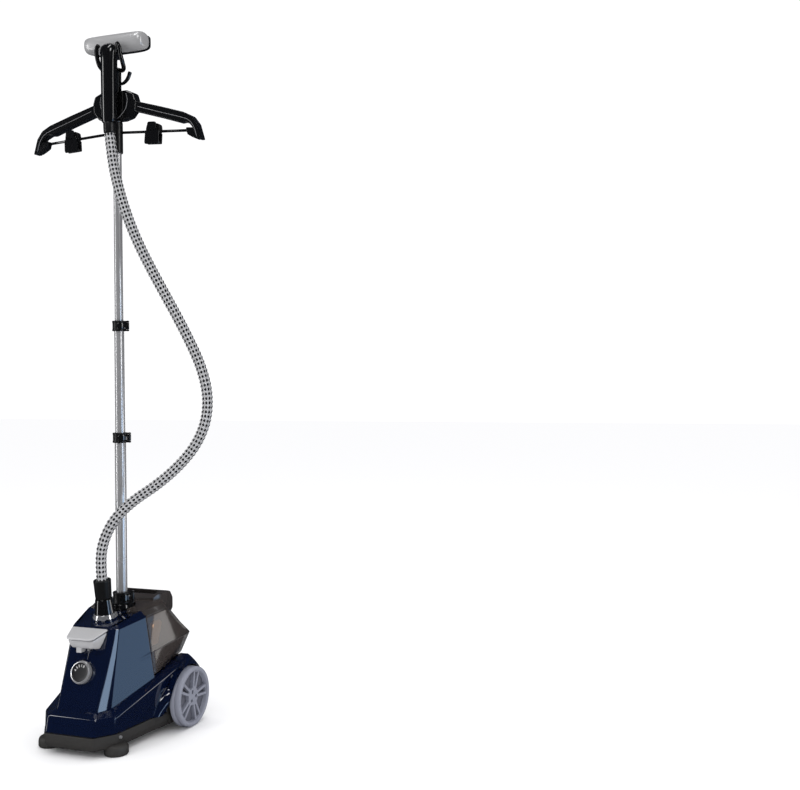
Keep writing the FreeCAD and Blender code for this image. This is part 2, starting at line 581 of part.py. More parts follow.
node(cut(cyl(p("post_rad"), 54, (0, PY, 1450)), cyl(p("upper_rad"), 30, (0, PY, 1450)), "head_post"), "head_post")
post_keep = cyl(p("post_rad"), 100, (0, PY, 1430))
for_ = []
for sx in (1, -1):
    for_ += rods(p("prong_rad"), [(sx * 5, 33, 1497), (sx * 27, 24, 1499), (sx * 30, 8, 1510), (sx * 30, 3, 1544), (sx * 27, 2, 1550)]) + [ball(p("prong_rad"), (sx * 27, 2, 1550))]
node(cut(fuse(for_, "fork_mass"), post_keep, "head_cradle"), "head_cradle")
node(cut(fuse(rods(p("hook_rad"), [(5, 33, 1468), (20, 33, 1468), (30, 33, 1475), (35, 33, 1488)]) + [ball(p("hook_rad"), (35, 33, 1488))], "hook_mass"), cyl(p("post_rad"), 100, (0, PY, 1430)), "garment_hook"), "garment_hook")

# ------------------------------------------------------------------ steam head
hw, hd = p("handle_wide") / 2, p("handle_deep") / 2
HY = p("head_y")
ch = 8
grip = padded("grip", "XY_Plane", p("handle_low_z"), p("handle_top_z") - p("handle_low_z"),
              sides([(hw - ch, HY - hd), (hw, HY - hd + ch), (hw, HY + hd - ch), (hw - ch, HY + hd)]))
neck = block((-14, HY + hd - 1, 1524), (14, 38, p("nozzle_low_z")))
node(fuse([grip, neck], "head_handle"), "head_handle")
node(cut(cone(12.5, 14, p("handle_low_z") - p("head_cuff_low_z"), (0, HY, p("head_cuff_low_z"))), cyl(8, 40, (0, HY, 1340)), "head_cuff"), "head_cuff")
n0, nd, nl, nh = p("nozzle_y") - p("nozzle_deep") / 2, p("nozzle_deep"), p("nozzle_low_z"), p("nozzle_high")
shell_prof = [(n0 + 10, nl), (n0 + nd, nl), (n0 + nd, nl + nh), (n0 + 10, nl + nh), (n0 + 2.5, nl + nh - 6), (n0, nl + nh - 14), (n0, nl + 14), (n0 + 2.5, nl + 6)]
noz = padded("nozzle", "YZ_Plane", -p("nozzle_half"), p("nozzle_half") * 2, shell_prof)
plan = padded("nozzle_plan", "XY_Plane", 1530, 60, sides([(p("nozzle_half") - 26, n0), (p("nozzle_half") - 8, n0 + 7), (p("nozzle_half"), n0 + 22), (p("nozzle_half"), n0 + nd)]))
node(cut(common([noz, plan], "nozzle_mass"), block((-72, val(n0) + 26, val(nl) + 4), (72, 100, val(nl) + val(nh) - 4)), "head_shell"), "head_shell")
plate_holes = [cyl(1.6, 20, (x, val(n0 + nd) - 5, val(nl + nh / 2) + dz), (0, 1, 0)) for x in range(-60, 61, 15) for dz in (-7, 7)]
node(cut(block((-p("nozzle_half") + 1, n0 + nd, nl + 1), (p("nozzle_half") - 1, n0 + nd + p("plate_thick"), nl + nh - 1)), plate_holes, "head_plate"), "head_plate")

# ------------------------------------------------------------------ tank
def tank_mass(name, k):
    ya = seam_y(133.5) + 0.7 + k
    c = {
        "a": (99.0 - k, ya, tank_floor(ya) + k), "b": (92 - k, seam_y(184.5) + 0.7 + k, 184.5), "c": (82 - k, seam_y(264) + 0.7 + k, 264 - k),
        "d": (67 - k, seam_y(277.5) + 0.7 + k, 277.5 - k), "e": (97 - k, 66 - k, 272 - k), "f": (65 - k, 96 - k, 285 - k),
        "g": (113.5 - k, 138 - k * 1.4, 204), "h": (97 - k, 149.5 - k * 1.4, 205), "i": (91.5 - k, 134 - k, tank_floor(134 - k) + k), "j": (80 - k, 141 - k, tank_floor(141 - k) + k),
    }
    f = ["a b b- a-", "b c c- b-", "c d d- c-", "d f f- d-", "c e f", "c f d", "b g e", "b e c", "a i g", "a g b", "e g h", "e h f", "i j h", "i h g",
         "f h h- f-", "h j j- h-", "a i j j- i- a-"]
    return faceted(name, c, f)


ang = math.degrees(math.atan((204 - 184.5) / (138 - 10.0)))
upper_half = block((-150, 0, 0), (150, 250, 200))
upper_half.Placement = FreeCAD.Placement(V(-150, -20, 184.5 - 30 * math.tan(math.radians(ang))), FreeCAD.Rotation(V(1, 0, 0), ang))
notch = cyl(p("notch_rad"), 300, (0, PY, 100))
notch_in = cyl(p("notch_rad") + p("tank_wall"), 300, (0, PY, 100))
notch_slab = block((-val(p("notch_rad")), -20, 100), (val(p("notch_rad")), val(PY), 400))
notch_slab_in = block((-val(p("notch_rad") + p("tank_wall")), -20, 100), (val(p("notch_rad") + p("tank_wall")), val(PY), 400))
hollow = cut(tank_mass("tank_void", val(p("tank_wall"))), [notch_in, notch_slab_in], "tank_water")
whole = cut(cut(tank_mass("tank_outer", 0), [notch, notch_slab]), hollow, "tank_whole")
tcy = p("tank_cap_y")
plug = cyl(p("plug_rad"), 4, (0, 76, 281.5))
node(cut(common([whole, upper_half], "tank_top_mass"), [cyl(p("plug_rad") - 2.0, 30, (0, 76, 270)), cyl(p("plug_rad"), 6, (0, 76, 281.5))], "tank_upper"), "tank_upper")
node(cut(cut(whole, upper_half), cyl(12, 60, (0, tcy, 110)), "tank_lower"), "tank_lower")
node(fuse([plug, cyl(p("plug_rad") - 2.0, 8, (0, 76, 274))], "tank_plug"), "tank_plug")

# carry handle: a deep loop over the rear of the tank
hp = padded("loop_side", "YZ_Plane", -62, 124, [(86, 270), (86, 293), (104, 297), (128, 297.5), (134, 295), (152, 270), (151, 262), (141, 250), (118, 250)])
hplan = padded("loop_plan", "XY_Plane", 240, 80, sides([(44, 80), (58, 96), (62, 120), (62, 146), (54, 154)]))
hole_ = faceted("loop_hole", {"a": (43, 97, 310), "b": (43, 121, 310), "c": (43, 121.5, 296), "d": (43, 138, 270), "e": (43, 138, 240), "f": (43, 97, 240)},
                ["a a- b- b", "b b- c- c", "c c- d- d", "d d- e- e", "e e- f- f", "f f- a- a", "a b c d e f"])
node(cut(common([hp, hplan], "loop_mass"), [hole_, tank_mass("tank_keep", 0)], "tank_handle"), "tank_handle")

# screw cap and drip valve under the tank, seated in a cup on the shelf
zc = tank_floor(val(tcy) - 21)
cap = cut(fuse([cyl(p("tank_cap_rad"), 8, (0, tcy, zc - 8.6)), cyl(10, 12, (0, tcy, zc - 2))], "cap_mass"), cyl(3.2, 40, (0, tcy, zc - 20)), "tank_cap")
node(cap, "tank_cap")
node(fuse([cyl(2.8, 26.8, (0, tcy, zc - 11.5)), cyl(7, 2, (0, tcy, zc + 13.3))], "tank_valve"), "tank_valve")
seat = cut(cyl(p("seat_rad"), 22, (0, tcy, zc - 24)), cyl(p("tank_cap_rad") + 1.2, 30, (0, tcy, zc - 12)), "tank_seat")
node(cut(seat, [cyl(4, 40, (0, tcy, zc - 30)), tank_room], "tank_seat_cut"), "tank_seat")

# ------------------------------------------------------------------ boiler and pipes
boiler_lid = cyl(34, 10, (0, -30, 104))
node(fuse([cyl(38, 56, (0, -30, 48)), cyl(30, 31, (0, -30, 17.5)), boiler_lid], "boiler"), "boiler")
top = V(*along(-28.2))
low = V(0, -30, 114)
dv = top - low
node(cut(cyl(9, dv.Length, (low.x, low.y, low.z), (dv.x, dv.y, dv.z)), [cyl(6, dv.Length + 4, (low.x, low.y, low.z - 2), (dv.x, dv.y, dv.z)), block((-20, -60, 110), (20, 0, 114.05)), port], "steam_pipe"), "steam_pipe")
node(fuse(rods(4.5, [(0, val(tcy), zc - 24), (0, val(tcy), 106), (0, 72, 88), (0, 72, 70), (0, 8.2, 70)]), "feed_tube"), "feed_tube")

# ------------------------------------------------------------------ hose
ROUTE = [(0, -41.2, 351.7), (0, -46.9, 398), (9, -44, 444), (28, -31, 487), (62, -12, 524), (107, 10, 556), (152, 31, 597), (188, 50, 645), (209, 61, 701), (211, 64, 762),
         (196, 61, 822), (171, 54, 880), (143, 46, 937), (114, 36, 994), (85.5, 26, 1051), (59, 18, 1108), (37, 12, 1166), (19, 8, 1226), (6, 5.6, 1287), (0, 4.5, 1348.6)]
ROUTE[0] = along(44.4 + val(p("cuff_high")))
d0 = V(*HN)
ROUTE[1] = tuple(V(*ROUTE[0]) + d0 * 47)


def middle(a, b):
    return tuple((x + y) / 2 for x, y in zip(a, b))


M1, M2 = middle(ROUTE[7], ROUTE[8]), middle(ROUTE[16], ROUTE[17])
LENGTHS = [("hose_lower", ROUTE[:8] + [M1]), ("hose_middle", [M1] + ROUTE[8:17] + [M2]), ("hose_upper", [M2] + ROUTE[17:])]


def hose(name, pts, r):
    """Round hose: straight runs joined by tangent arcs."""
    q = [V(*t) for t in pts]
    edges, at, radii = [], q[0], []
    for i in range(1, len(q) - 1):
        a, b = q[i - 1] - q[i], q[i + 1] - q[i]
        la, lb = a.Length, b.Length
        turn = math.pi - a.getAngle(b)
        t = 0.45 * min(la, lb)
        a.normalize()
        b.normalize()
        radii.append(t / math.tan(turn / 2))
        s, e = q[i] + a * t, q[i] + b * t
        bis = a + b
        bis.normalize()
        rad = radii[-1]
        mid = q[i] + bis * (math.hypot(t, rad) - rad)
        edges += [Part.LineSegment(at, s).toShape(), Part.Arc(s, mid, e).toShape()]
        at = e
    edges.append(Part.LineSegment(at, q[-1]).toShape())
    wire = Part.Wire(edges)
    d = q[1] - q[0]
    face = Part.Wire(Part.Circle(q[0], d, r).toShape())
    solid = wire.makePipeShell([face], True, False)
    if solid.Volume < 0:
        solid.reverse()
    print("%s: length %.1f, volume %.0f of %.0f, radii %s" % (name, wire.Length, solid.Volume, math.pi * r * r * wire.Length, [round(x) for x in radii]))
    o = new("Part::Feature", name)
    o.Shape = solid
    return o


for name_, pts_ in LENGTHS:
    node(hose(name_, pts_, val(p("hose_rad"))), name_)
    print(name_, [tuple(round(c, 1) for c in t) for t in pts_])

# ------------------------------------------------------------------ check and write
doc.recompute()
bad = []
for o in doc.Objects:
    if "Invalid" in o.State or "Error" in o.State:
        bad.append("%s: %s" % (o.Name, o.State))
for name_, o in NODES:
    s = o.Shape
    if s.isNull() or not s.isValid() or s.Volume <= 0:
        bad.append("%s has a bad shape" % name_)
names = [n for n, _ in NODES]
if len(set(names)) != len(names):
    bad.append("a name is used twice")
if bad:
    raise RuntimeError("; ".join(bad))
os.makedirs("parts", exist_ok=True)
for name_, o in NODES:
    s = o.Shape
    b = s.BoundBox
    print("%-18s solids %d vol %9.0f  x %7.1f %7.1f  y %7.1f %7.1f  z %7.1f %7.1f" % (name_, len(s.Solids), s.Volume, b.XMin, b.XMax, b.YMin, b.YMax, b.ZMin, b.ZMax))
    s.exportStep("parts/%s.step" % name_)
print(len(NODES), "nodes")
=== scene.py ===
import bpy
import bmesh
import math
from mathutils import Vector, Matrix


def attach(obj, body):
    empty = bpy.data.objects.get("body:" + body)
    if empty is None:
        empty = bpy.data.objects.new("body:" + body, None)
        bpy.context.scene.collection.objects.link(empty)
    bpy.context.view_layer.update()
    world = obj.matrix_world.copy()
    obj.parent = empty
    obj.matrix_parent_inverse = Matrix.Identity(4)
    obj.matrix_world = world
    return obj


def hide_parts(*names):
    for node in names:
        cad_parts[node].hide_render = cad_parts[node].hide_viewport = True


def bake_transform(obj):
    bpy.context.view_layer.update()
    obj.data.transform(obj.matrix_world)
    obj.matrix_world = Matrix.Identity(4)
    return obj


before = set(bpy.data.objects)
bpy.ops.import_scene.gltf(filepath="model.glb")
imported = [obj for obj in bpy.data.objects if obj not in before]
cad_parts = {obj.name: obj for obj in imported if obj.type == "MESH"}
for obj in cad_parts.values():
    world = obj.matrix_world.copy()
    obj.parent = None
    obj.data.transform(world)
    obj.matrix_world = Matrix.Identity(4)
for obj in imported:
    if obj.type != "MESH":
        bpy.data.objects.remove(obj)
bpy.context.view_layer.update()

# ------------------------------------------------------------------ materials


def material(name, colour, rough=0.4, metal=0.0, coat=0.0, grain=300.0, bump=0.05, vary=0.04, tint=0.06, alpha=1.0, spec=0.5, trans=0.0, ior=1.5):
    m = bpy.data.materials.new(name)
    m.use_nodes = True
    t = m.node_tree
    b = t.nodes["Principled BSDF"]
    b.inputs["Metallic"].default_value = metal
    b.inputs["Coat Weight"].default_value = coat
    b.inputs["Coat Roughness"].default_value = 0.04
    b.inputs["Specular IOR Level"].default_value = spec
    b.inputs["IOR"].default_value = ior
    b.inputs["Transmission Weight"].default_value = trans
    b.inputs["Alpha"].default_value = alpha
    pos = t.nodes.new("ShaderNodeTexCoord")
    big = t.nodes.new("ShaderNodeTexNoise")
    big.inputs["Scale"].default_value = 9.0
    big.inputs["Detail"].default_value = 3.0
    fine = t.nodes.new("ShaderNodeTexNoise")
    fine.inputs["Scale"].default_value = grain
    fine.inputs["Detail"].default_value = 2.0
    t.links.new(pos.outputs["Object"], big.inputs["Vector"])
    t.links.new(pos.outputs["Object"], fine.inputs["Vector"])
    ramp = t.nodes.new("ShaderNodeMix")
    ramp.data_type = "RGBA"
    ramp.inputs["A"].default_value = [c * (1 - tint) for c in colour[:3]] + [1]
    ramp.inputs["B"].default_value = [min(1, c * (1 + tint)) for c in colour[:3]] + [1]
    t.links.new(big.outputs["Fac"], ramp.inputs["Factor"])
    t.links.new(ramp.outputs["Result"], b.inputs["Base Color"])
    r = t.nodes.new("ShaderNodeMapRange")
    r.inputs["To Min"].default_value = max(0.01, rough - vary)
    r.inputs["To Max"].default_value = rough + vary
    t.links.new(big.outputs["Fac"], r.inputs["Value"])
    t.links.new(r.outputs["Result"], b.inputs["Roughness"])
    if bump:
        bp = t.nodes.new("ShaderNodeBump")
        bp.inputs["Strength"].default_value = bump
        bp.inputs["Distance"].default_value = 0.0004
        t.links.new(fine.outputs["Fac"], bp.inputs["Height"])
        t.links.new(bp.outputs["Normal"], b.inputs["Normal"])
    return m


NAVY = material("navy_gloss", (0.0014, 0.0042, 0.019), 0.07, coat=1.0, grain=25, bump=0.006, vary=0.02, spec=0.75)
CHAR = material("charcoal_matte", (0.036, 0.034, 0.032), 0.55, grain=900, bump=0.35, vary=0.08)
BLACK = material("black_gloss", (0.0035, 0.0035, 0.0038), 0.12, coat=0.8, grain=80, bump=0.02, vary=0.03)
SATIN = material("black_satin", (0.0065, 0.0065, 0.007), 0.33, grain=700, bump=0.2, vary=0.06)
RUBBER = material("black_rubber", (0.02, 0.02, 0.021), 0.7, grain=900, bump=0.4, vary=0.08)
WHEEL = material("wheel_grey", (0.25, 0.262, 0.32), 0.4, grain=900, bump=0.25, vary=0.07)
# darker copy of the wheel grey: painted shade for the recessed disc, which is the same plastic as the rim
WHEEL_DISH_SHADE = material("wheel_dish", (0.12, 0.124, 0.155), 0.45, grain=900, bump=0.25, vary=0.07)
# near-black copy of the wheel grey laid in the spoke slots: painted shade
WHEEL_SLOT_SHADE = material("wheel_recess", (0.06, 0.06, 0.078), 0.5, grain=900, bump=0.25, vary=0.07)
TANK = material("tank_smoke", (0.05, 0.042, 0.039), 0.08, coat=0.7, grain=30, bump=0.01, vary=0.03, alpha=0.74)
# lighter copy of the tank smoke for lit facets: painted highlight; nothing in the scene uses it
TANK_LIT_COPY = material("tank_smoke_painted_highlight", (0.22, 0.205, 0.205), 0.1, coat=0.6, grain=50, bump=0.02, vary=0.03, alpha=0.85)
TANK_B = material("tank_inner_brown", (0.6, 0.33, 0.17), 0.3, coat=0.2, grain=40, bump=0.03, vary=0.05)
TANK_D = material("tank_handle_smoke", (0.037, 0.032, 0.031), 0.25, coat=0.4, grain=500, bump=0.08, vary=0.05)
SILVER = material("pedal_silver", (0.56, 0.56, 0.57), 0.36, metal=0.3, grain=1200, bump=0.12, vary=0.06)
HEADS = material("head_silver", (0.5, 0.5, 0.505), 0.3, metal=0.42, coat=0.35, grain=1500, bump=0.12, vary=0.06)
KNURL = material("knurled_nickel", (0.62, 0.62, 0.63), 0.2, metal=0.7, grain=600, bump=0.05)
CHROME = material("chrome", (0.86, 0.86, 0.87), 0.07, metal=0.85, grain=200, bump=0.01, vary=0.02)
DIAL = material("dial_grey", (0.016, 0.016, 0.018), 0.32, grain=900, bump=0.12, vary=0.05)
POLE = material("pole_aluminium", (0.66, 0.66, 0.67), 0.26, metal=0.7, grain=1500, bump=0.015, vary=0.05)
STEEL = material("steel", (0.5, 0.5, 0.51), 0.3, metal=0.7, grain=900, bump=0.08)
CAST = material("cast_aluminium", (0.5, 0.5, 0.5), 0.5, metal=0.9, grain=500, bump=0.3)
CLEAR = material("silicone", (0.6, 0.58, 0.55), 0.4, grain=300, bump=0.1)
WHITE = material("print_white", (0.85, 0.85, 0.85), 0.5, bump=0.0)
LINE = material("pale_line", (0.2, 0.2, 0.21), 0.3, bump=0.0)

# brushed streaks along the pole
for m in (POLE,):
    t = m.node_tree
    n = [x for x in t.nodes if x.type == "TEX_NOISE" and x.inputs["Scale"].default_value > 1000][0]
    mp = t.nodes.new("ShaderNodeMapping")
    mp.inputs["Scale"].default_value = (1, 1, 0.01)
    co = [x for x in t.nodes if x.type == "TEX_COORD"][0]
    t.links.new(co.outputs["Object"], mp.inputs["Vector"])
    t.links.new(mp.outputs["Vector"], n.inputs["Vector"])


def braid():
    """Silver braid with rows of black threads, laid on the hose's own length and turn."""
    m = material("hose_braid", (0.68, 0.68, 0.69), 0.34, metal=0.4, grain=900, bump=0.1, vary=0.05)
    t = m.node_tree
    b = t.nodes["Principled BSDF"]
    uv = t.nodes.new("ShaderNodeUVMap")
    uv.uv_map = "along"
    sep = t.nodes.new("ShaderNodeSeparateXYZ")
    t.links.new(uv.outputs["UV"], sep.inputs["Vector"])

    def mathn(op, a, b_=None, c=None):
        n_ = t.nodes.new("ShaderNodeMath")
        n_.operation = op
        for i, v in enumerate((a, b_, c)):
            if v is None:
                continue
            if isinstance(v, (int, float)):
                n_.inputs[i].default_value = v
            else:
                t.links.new(v, n_.inputs[i])
        return n_.outputs[0]

    u, v = sep.outputs["X"], sep.outputs["Y"]
    p1 = mathn("SINE", mathn("MULTIPLY", mathn("ADD", mathn("MULTIPLY", u, 5.0), mathn("MULTIPLY", v, 0.5)), 2 * math.pi))
    p2 = mathn("SINE", mathn("MULTIPLY", mathn("SUBTRACT", mathn("MULTIPLY", u, 5.0), mathn("MULTIPLY", v, 0.5)), 2 * math.pi))
    dots = mathn("GREATER_THAN", mathn("MULTIPLY", p1, p2), 0.17)
    fine = mathn("MULTIPLY", mathn("SINE", mathn("MULTIPLY", mathn("ADD", mathn("MULTIPLY", u, 40.0), mathn("MULTIPLY", v, 4.0)), 2 * math.pi)),
                 mathn("SINE", mathn("MULTIPLY", mathn("SUBTRACT", mathn("MULTIPLY", u, 40.0), mathn("MULTIPLY", v, 4.0)), 2 * math.pi)))
    mix = t.nodes.new("ShaderNodeMix")
    mix.data_type = "RGBA"
    mix.inputs["B"].default_value = (0.012, 0.012, 0.014, 1)
    base = [l for l in t.links if l.to_socket == b.inputs["Base Color"]][0]
    src = base.from_socket
    t.links.remove(base)
    t.links.new(src, mix.inputs["A"])
    t.links.new(dots, mix.inputs["Factor"])
    t.links.new(mix.outputs["Result"], b.inputs["Base Color"])
    bp = [x for x in t.nodes if x.type == "BUMP"][0]
    bp.inputs["Strength"].default_value = 0.5
    bp.inputs["Distance"].default_value = 0.0006
    t.links.new(fine, bp.inputs["Height"])
    return m


BRAID = braid()

# ------------------------------------------------------------------ mesh helpers
V = Vector


def link(name, me, mat, body=None, nodes=(), smooth=35, weighted=True):
    o = bpy.data.objects.new(name, me)
    bpy.context.scene.collection.objects.link(o)
    if mat is not None and not me.materials:
        me.materials.append(mat)
    me.shade_smooth()
    if smooth is not None:
        me.set_sharp_from_angle(angle=math.radians(smooth))
    if body:
        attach(o, body)
    for n in ([nodes] if isinstance(nodes, str) else nodes):
        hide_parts(n)
    return o


def build(bm, name, mat, body=None, nodes=(), smooth=35, bevel=0.0, seg=3, angle=20):
    bmesh.ops.remove_doubles(bm, verts=bm.verts, dist=1e-6)
    bmesh.ops.recalc_face_normals(bm, faces=bm.faces)
    me = bpy.data.meshes.new(name)
    bm.to_mesh(me)
    bm.free()
    if bevel:
        return bevelled(name, me, mat, body, nodes, bevel, seg, angle)
    return link(name, me, mat, body, nodes, smooth)


def bevelled(name, me, mat, body, nodes, width, seg=3, angle=20):
    """Rounds the creases of a faceted mesh and keeps its flats flat."""
    o = bpy.data.objects.new(name + "_tmp", me)
    bpy.context.scene.collection.objects.link(o)
    b = o.modifiers.new("b", "BEVEL")
    b.width = width / 1000
    b.segments = seg
    b.limit_method = "ANGLE"
    b.angle_limit = math.radians(angle)
    b.use_clamp_overlap = True
    b.miter_outer = "MITER_ARC"
    b.harden_normals = False
    me2 = baked(o)
    out = link(name, me2, mat, body, nodes, 60)
    w = out.modifiers.new("flat", "WEIGHTED_NORMAL")
    w.keep_sharp = True
    w.weight = 80
    return out


def baked(o):
    dg = bpy.context.evaluated_depsgraph_get()
    dg.update()
    me = bpy.data.meshes.new_from_object(o.evaluated_get(dg))
    old = o.data
    bpy.data.objects.remove(o)
    if old.users == 0:
        bpy.data.meshes.remove(old)
    return me


def faces_bm(points, faces):
    bm = bmesh.new()
    vs = [bm.verts.new(V(q) / 1000) for q in points]
    for f in faces:
        if len(set(f)) > 2:
            bm.faces.new([vs[i] for i in f])
    return bm


def sym(corners, faces):
    """Corners on the +X side with their mirrored ones (name-), and faces given as words."""
    names, pts = {}, []
    for k, (x, y, z) in corners.items():
        names[k] = len(pts)
        pts.append((x, y, z))
        if abs(x) < 1e-9:
            names[k + "-"] = names[k]
        else:
            names[k + "-"] = len(pts)
            pts.append((-x, y, z))
    out = []
    for f in faces:
        w = f.split()
        out.append([names[k] for k in w])
        if not any(k.endswith("-") for k in w):
            out.append([names[k + "-"] for k in reversed(w)])
    clean = []
    for f in out:
        g = [i for j, i in enumerate(f) if i != f[j - 1]]
        clean.append(g)
    return faces_bm(pts, clean)


def rounded(pts, r, n=6):
    """2-D outline with its corners rounded; r is one radius or one for each corner."""
    out = []
    for i, q in enumerate(pts):
        rr = r[i] if isinstance(r, (list, tuple)) else r
        a, b, c = V(pts[i - 1]).to_2d(), V(q).to_2d(), V(pts[(i + 1) % len(pts)]).to_2d()
        d1, d2 = (a - b), (c - b)
        half = d1.angle(d2) / 2
        t = min(rr / math.tan(half), d1.length * 0.49, d2.length * 0.49)
        if t < 1e-4 or half > math.radians(88):
            out.append(tuple(b))
            continue
        s, e = b + d1.normalized() * t, b + d2.normalized() * t
        for k in range(n + 1):
            u = k / n
            out.append(tuple((s * (1 - u) + b * u) * (1 - u) + (b * (1 - u) + e * u) * u))
    return out


def loft(rings, name, mat, body=None, nodes=(), smooth=35, caps=True, close=False, bevel=0, seg=3, angle=25):
    bm = bmesh.new()
    n = len(rings[0])
    rows = [[bm.verts.new(V(q) / 1000) for q in ring] for ring in rings]
    pairs = list(zip(rows, rows[1:])) + ([(rows[-1], rows[0])] if close else [])
    for a, b in pairs:
        for i in range(n):
            bm.faces.new((a[i], a[(i + 1) % n], b[(i + 1) % n], b[i]))
    if caps and not close:
        bm.faces.new(rows[0][::-1])
        bm.faces.new(rows[-1])
    return build(bm, name, mat, body, nodes, smooth, bevel, seg, angle)


def basis(axis):
    z = V(axis).normalized()
    x = z.orthogonal().normalized() if abs(z.z) < 0.999 else V((1, 0, 0))
    if abs(z.x) < 0.9:
        x = (V((1, 0, 0)) - z * z.x).normalized()
    y = z.cross(x)
    return x, y, z


def lathe(profile, origin, axis, name, mat, body=None, nodes=(), n=72, smooth=30, wave=None):
    """profile: (radius, distance along the axis) pairs in mm."""
    x, y, z = basis(axis)
    o = V(origin)
    bm = bmesh.new()
    rows = []
    for j, (r, s) in enumerate(profile):
        if r < 1e-6:
            rows.append([bm.verts.new((o + z * s) / 1000)])
            continue
        row = []
        for i in range(n):
            a = 2 * math.pi * i / n
            rr = r + (wave(i, j) if wave else 0)
            row.append(bm.verts.new((o + z * s + (x * math.cos(a) + y * math.sin(a)) * rr) / 1000))
        rows.append(row)
    for a, b in zip(rows, rows[1:]):
        for i in range(n):
            k = (i + 1) % n
            if len(a) == 1 and len(b) == 1:
                continue
            if len(a) == 1:
                bm.faces.new((a[0], b[k], b[i]))
            elif len(b) == 1:
                bm.faces.new((a[i], a[k], b[0]))
            else:
                bm.faces.new((a[i], a[k], b[k], b[i]))
    return build(bm, name, mat, body, nodes, smooth)


def arc_profile(pts, r=1.2, n=4):
    """Rounds the inner corners of an open profile."""
    out = [pts[0]]
    for a, b, c in zip(pts, pts[1:], pts[2:]):
        a, b, c = V(a), V(b), V(c)
        d1, d2 = (a - b), (c - b)
        if d1.length < 1e-6 or d2.length < 1e-6:
            out.append(tuple(b))
            continue
        t = min(r, d1.length * 0.45, d2.length * 0.45)
        s, e = b + d1.normalized() * t, b + d2.normalized() * t
        for k in range(n + 1):
            u = k / n
            out.append(tuple((s * (1 - u) + b * u) * (1 - u) + (b * (1 - u) + e * u) * u))
    out.append(pts[-1])
    return out


def smooth_path(pts, per=8):
    """Catmull-Rom line through the points."""
    q = [V(p) for p in pts]
    q = [q[0] * 2 - q[1]] + q + [q[-1] * 2 - q[-2]]
    out = []
    for i in range(1, len(q) - 2):
        p0, p1, p2, p3 = q[i - 1:i + 3]
        for k in range(per):
            t = k / per
            out.append(0.5 * ((2 * p1) + (p2 - p0) * t + (2 * p0 - 5 * p1 + 4 * p2 - p3) * t * t + (3 * p1 - p0 - 3 * p2 + p3) * t ** 3))
    out.append(q[-2])
    return out


LAST = {}


def sweep(path, radius, name, mat, body=None, nodes=(), n=20, round_ends=True, uv=None, flat=1.0, up=None, off=0.0):
    """Round (or flattened) bar along a path in mm; radius is a number or a function of (distance, turn)."""
    path = [V(p) for p in path]
    dist = [0.0]
    for a, b in zip(path, path[1:]):
        dist.append(dist[-1] + (b - a).length)
    tang = []
    for i in range(len(path)):
        a, b = path[max(0, i - 1)], path[min(len(path) - 1, i + 1)]
        tang.append((b - a).normalized())
    ref = V(up) if up else tang[0].orthogonal()
    ref = (ref - tang[0] * ref.dot(tang[0])).normalized()
    bm = bmesh.new()
    layer = bm.loops.layers.uv.new(uv) if uv else None
    rows, meta = [], []
    for i, (p_, t_) in enumerate(zip(path, tang)):
        ref = (ref - t_ * ref.dot(t_)).normalized()
        side = t_.cross(ref)
        row = []
        for k in range(n):
            a = 2 * math.pi * k / n
            r = radius(dist[i], a) if callable(radius) else radius
            row.append(bm.verts.new((p_ + ref * math.cos(a) * r * flat + side * math.sin(a) * r) / 1000))
        rows.append(row)
    LAST["ref"] = ref.copy()
    for j, (a, b) in enumerate(zip(rows, rows[1:])):
        for k in range(n):
            f = bm.faces.new((a[k], a[(k + 1) % n], b[(k + 1) % n], b[k]))
            if layer:
                for lp, (uu, vv) in zip(f.loops, ((k / n, dist[j]), ((k + 1) / n, dist[j]), ((k + 1) / n, dist[j + 1]), (k / n, dist[j + 1]))):
                    lp[layer].uv = (uu, (vv + off) / 10.0)
    for row, p_, t_, sgn in ((rows[0], path[0], tang[0], -1), (rows[-1], path[-1], tang[-1], 1)):
        if round_ends:
            r0 = radius if not callable(radius) else radius(0, 0)
            last = row
            for c, s in ((0.8, 0.6), (0.45, 0.88)):
                nxt = [bm.verts.new((p_ / 1000) + (v.co - p_ / 1000) * c + t_ * sgn * r0 * s * 0.6 / 1000) for v in row]
                for k in range(n):
                    bm.faces.new((last[k], last[(k + 1) % n], nxt[(k + 1) % n], nxt[k]))
                last = nxt
            bm.faces.new(last)
        else:
            bm.faces.new(row)
    if layer:
        bmesh.ops.recalc_face_normals(bm, faces=bm.faces)
        me = bpy.data.meshes.new(name)
        bm.to_mesh(me)
        bm.free()
        return link(name, me, mat, body, nodes, 60)
    return build(bm, name, mat, body, nodes, 50)


def prism(outline, axis, lo, hi, name, mat, body=None, nodes=(), bevel=0, seg=3, angle=25, place=None):
    """Straight block with a 2-D outline; axis is its length (outline in YZ, XZ or XY order)."""
    def p3(q, h):
        return {"X": (h, q[0], q[1]), "Y": (q[0], h, q[1]), "Z": (q[0], q[1], h)}[axis]
    rings = [[p3(q, lo) for q in outline], [p3(q, hi) for q in outline]]
    if place:
        rings = [[place(q) for q in r] for r in rings]
    return loft(rings, name, mat, body, nodes, bevel=bevel, seg=seg, angle=angle)


def carve(o, cutters, op="DIFFERENCE"):
    for c in cutters:
        m = o.modifiers.new("c", "BOOLEAN")
        m.operation = op
        m.solver = "EXACT"
        m.object = c
    me = baked(o)
    for c in cutters:
        bpy.data.objects.remove(c)
    bm = bmesh.new()
    bm.from_mesh(me)
    bmesh.ops.remove_doubles(bm, verts=bm.verts, dist=2e-5)
    bmesh.ops.dissolve_limit(bm, angle_limit=math.radians(1), verts=bm.verts, edges=bm.edges)
    bm.to_mesh(me)
    bm.free()
    return me


